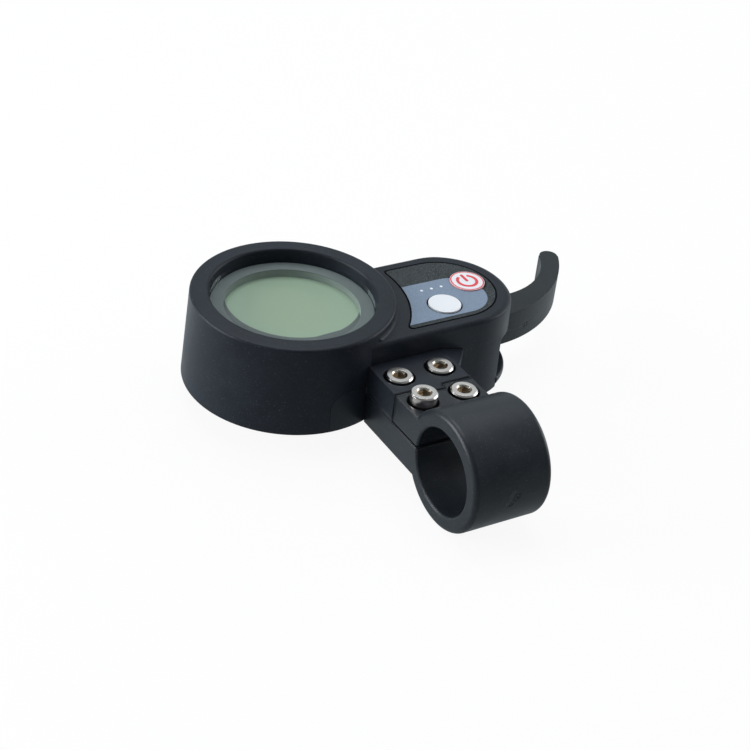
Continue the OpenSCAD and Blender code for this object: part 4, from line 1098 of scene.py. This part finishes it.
def make_floor(looks):
    """A plain pale floor under the lowest point of the unit, dimmer in reflections of its near side."""
    half = looks.floor_size / 2
    level = CAD_BOX[0][2] - FLOOR_BELOW
    corners = [(-half, -half), (half, -half), (half, half), (-half, half)]
    floor = new_piece(
        "floor", lambda work: work.faces.new([work.verts.new((x, y, level)) for x, y in corners]))
    made, tree, shader = new_material("Floor", 0.8, specular=0.1)
    shader.inputs["Base Color"].default_value = rgba(looks.floor)
    output = shader.outputs["BSDF"].links[0].to_node
    ahead = between_vectors(tree, "DOT_PRODUCT", own_place(tree), (WHITE_SIDE.x, WHITE_SIDE.y, 0.0))
    mirrored = spread(tree, ahead, -0.02, 0.045, 0.35, 1.0)
    white, seen = shown_room(tree, "Emission", looks.sheen, mirrored)
    share = maths(tree, "MULTIPLY", seen, FLOOR_WHITE)
    join(tree, choose_shader(tree, share, shader.outputs["BSDF"], white), output.inputs["Surface"])
    floor.data.materials.append(made)


def make_world(scene, looks):
    """Soft surroundings, brighter at the far side, and white where the camera sees them."""
    world = bpy.data.worlds.new("Studio")
    scene.world = world
    world.use_nodes = True
    tree = world.node_tree
    tree.nodes.clear()
    output = add(tree, "OutputWorld")
    way = add(tree, "TexCoord").outputs["Generated"]
    ahead = between_vectors(tree, "DOT_PRODUCT", way, WHITE_SIDE)
    soft = add(tree, "Background", Color=rgba(looks.light))
    glow = spread(tree, ahead, -0.35, 0.45, looks.world_front, looks.world)
    join(tree, glow, soft.inputs["Strength"])
    mirrored = spread(tree, ahead, 0.25, 0.95, looks.world_front, looks.world_mirrored)
    white, seen = shown_room(tree, "Background", looks.sheen, mirrored)
    join(tree, choose_shader(tree, seen, soft.outputs["Background"], white), output.inputs["Surface"])


def add_lamp(name, colour, power, size, place, aim):
    """A square soft lamp that faces a point."""
    data = bpy.data.lights.new(name, "AREA")
    data.energy = power
    data.size = size
    data.color = colour
    lamp = bpy.data.objects.new(name, data)
    lamp.location = place
    lamp.rotation_euler = (aim - place).to_track_quat("-Z", "Y").to_euler()
    bpy.context.scene.collection.objects.link(lamp)


def make_camera(scene, looks):
    """The camera, from the angle of the photograph."""
    data = bpy.data.cameras.new("Camera")
    data.lens = looks.lens
    data.sensor_width = 36.0
    data.clip_start = 0.01
    camera = bpy.data.objects.new("Camera", data)
    eye = Vector(looks.eye)
    turn = (Vector(looks.aim) - eye).to_track_quat("-Z", "Y") @ Quaternion((0, 0, 1), looks.roll)
    camera.location = eye
    camera.rotation_mode = "QUATERNION"
    camera.rotation_quaternion = turn
    scene.collection.objects.link(camera)
    scene.camera = camera


OPERATORS = (
    DISPLAYUNIT_OT_stage,
    DISPLAYUNIT_OT_mouldings,
    DISPLAYUNIT_OT_display,
    DISPLAYUNIT_OT_keypad,
    DISPLAYUNIT_OT_keys,
    DISPLAYUNIT_OT_metal,
    DISPLAYUNIT_OT_inside,
)


class DISPLAYUNIT_PT_sidebar(bpy.types.Panel):
    """Lists the steps that dress the display unit"""
    bl_idname = "DISPLAYUNIT_PT_sidebar"
    bl_label = "Display Unit"
    bl_space_type = "VIEW_3D"
    bl_region_type = "UI"
    bl_category = "Display Unit"

    def draw(self, context):
        for operator in OPERATORS:
            self.layout.operator(operator.bl_idname)


CLASSES = (
    MouldingLooks,
    DisplayLooks,
    KeypadLooks,
    MetalLooks,
    InsideLooks,
    StageLooks,
    DisplayUnit,
    *OPERATORS,
    DISPLAYUNIT_PT_sidebar,
)


def register():
    for cls in CLASSES:
        bpy.utils.register_class(cls)
    bpy.types.Scene.display_unit = PointerProperty(type=DisplayUnit)


def unregister():
    del bpy.types.Scene.display_unit
    for cls in reversed(CLASSES):
        bpy.utils.unregister_class(cls)


def main():
    register()
    bpy.ops.display_unit.stage()
    bpy.ops.display_unit.mouldings()
    bpy.ops.display_unit.display()
    bpy.ops.display_unit.keypad()
    bpy.ops.display_unit.keys()
    bpy.ops.display_unit.metal()
    bpy.ops.display_unit.inside()


if __name__ == "__main__":
    main()
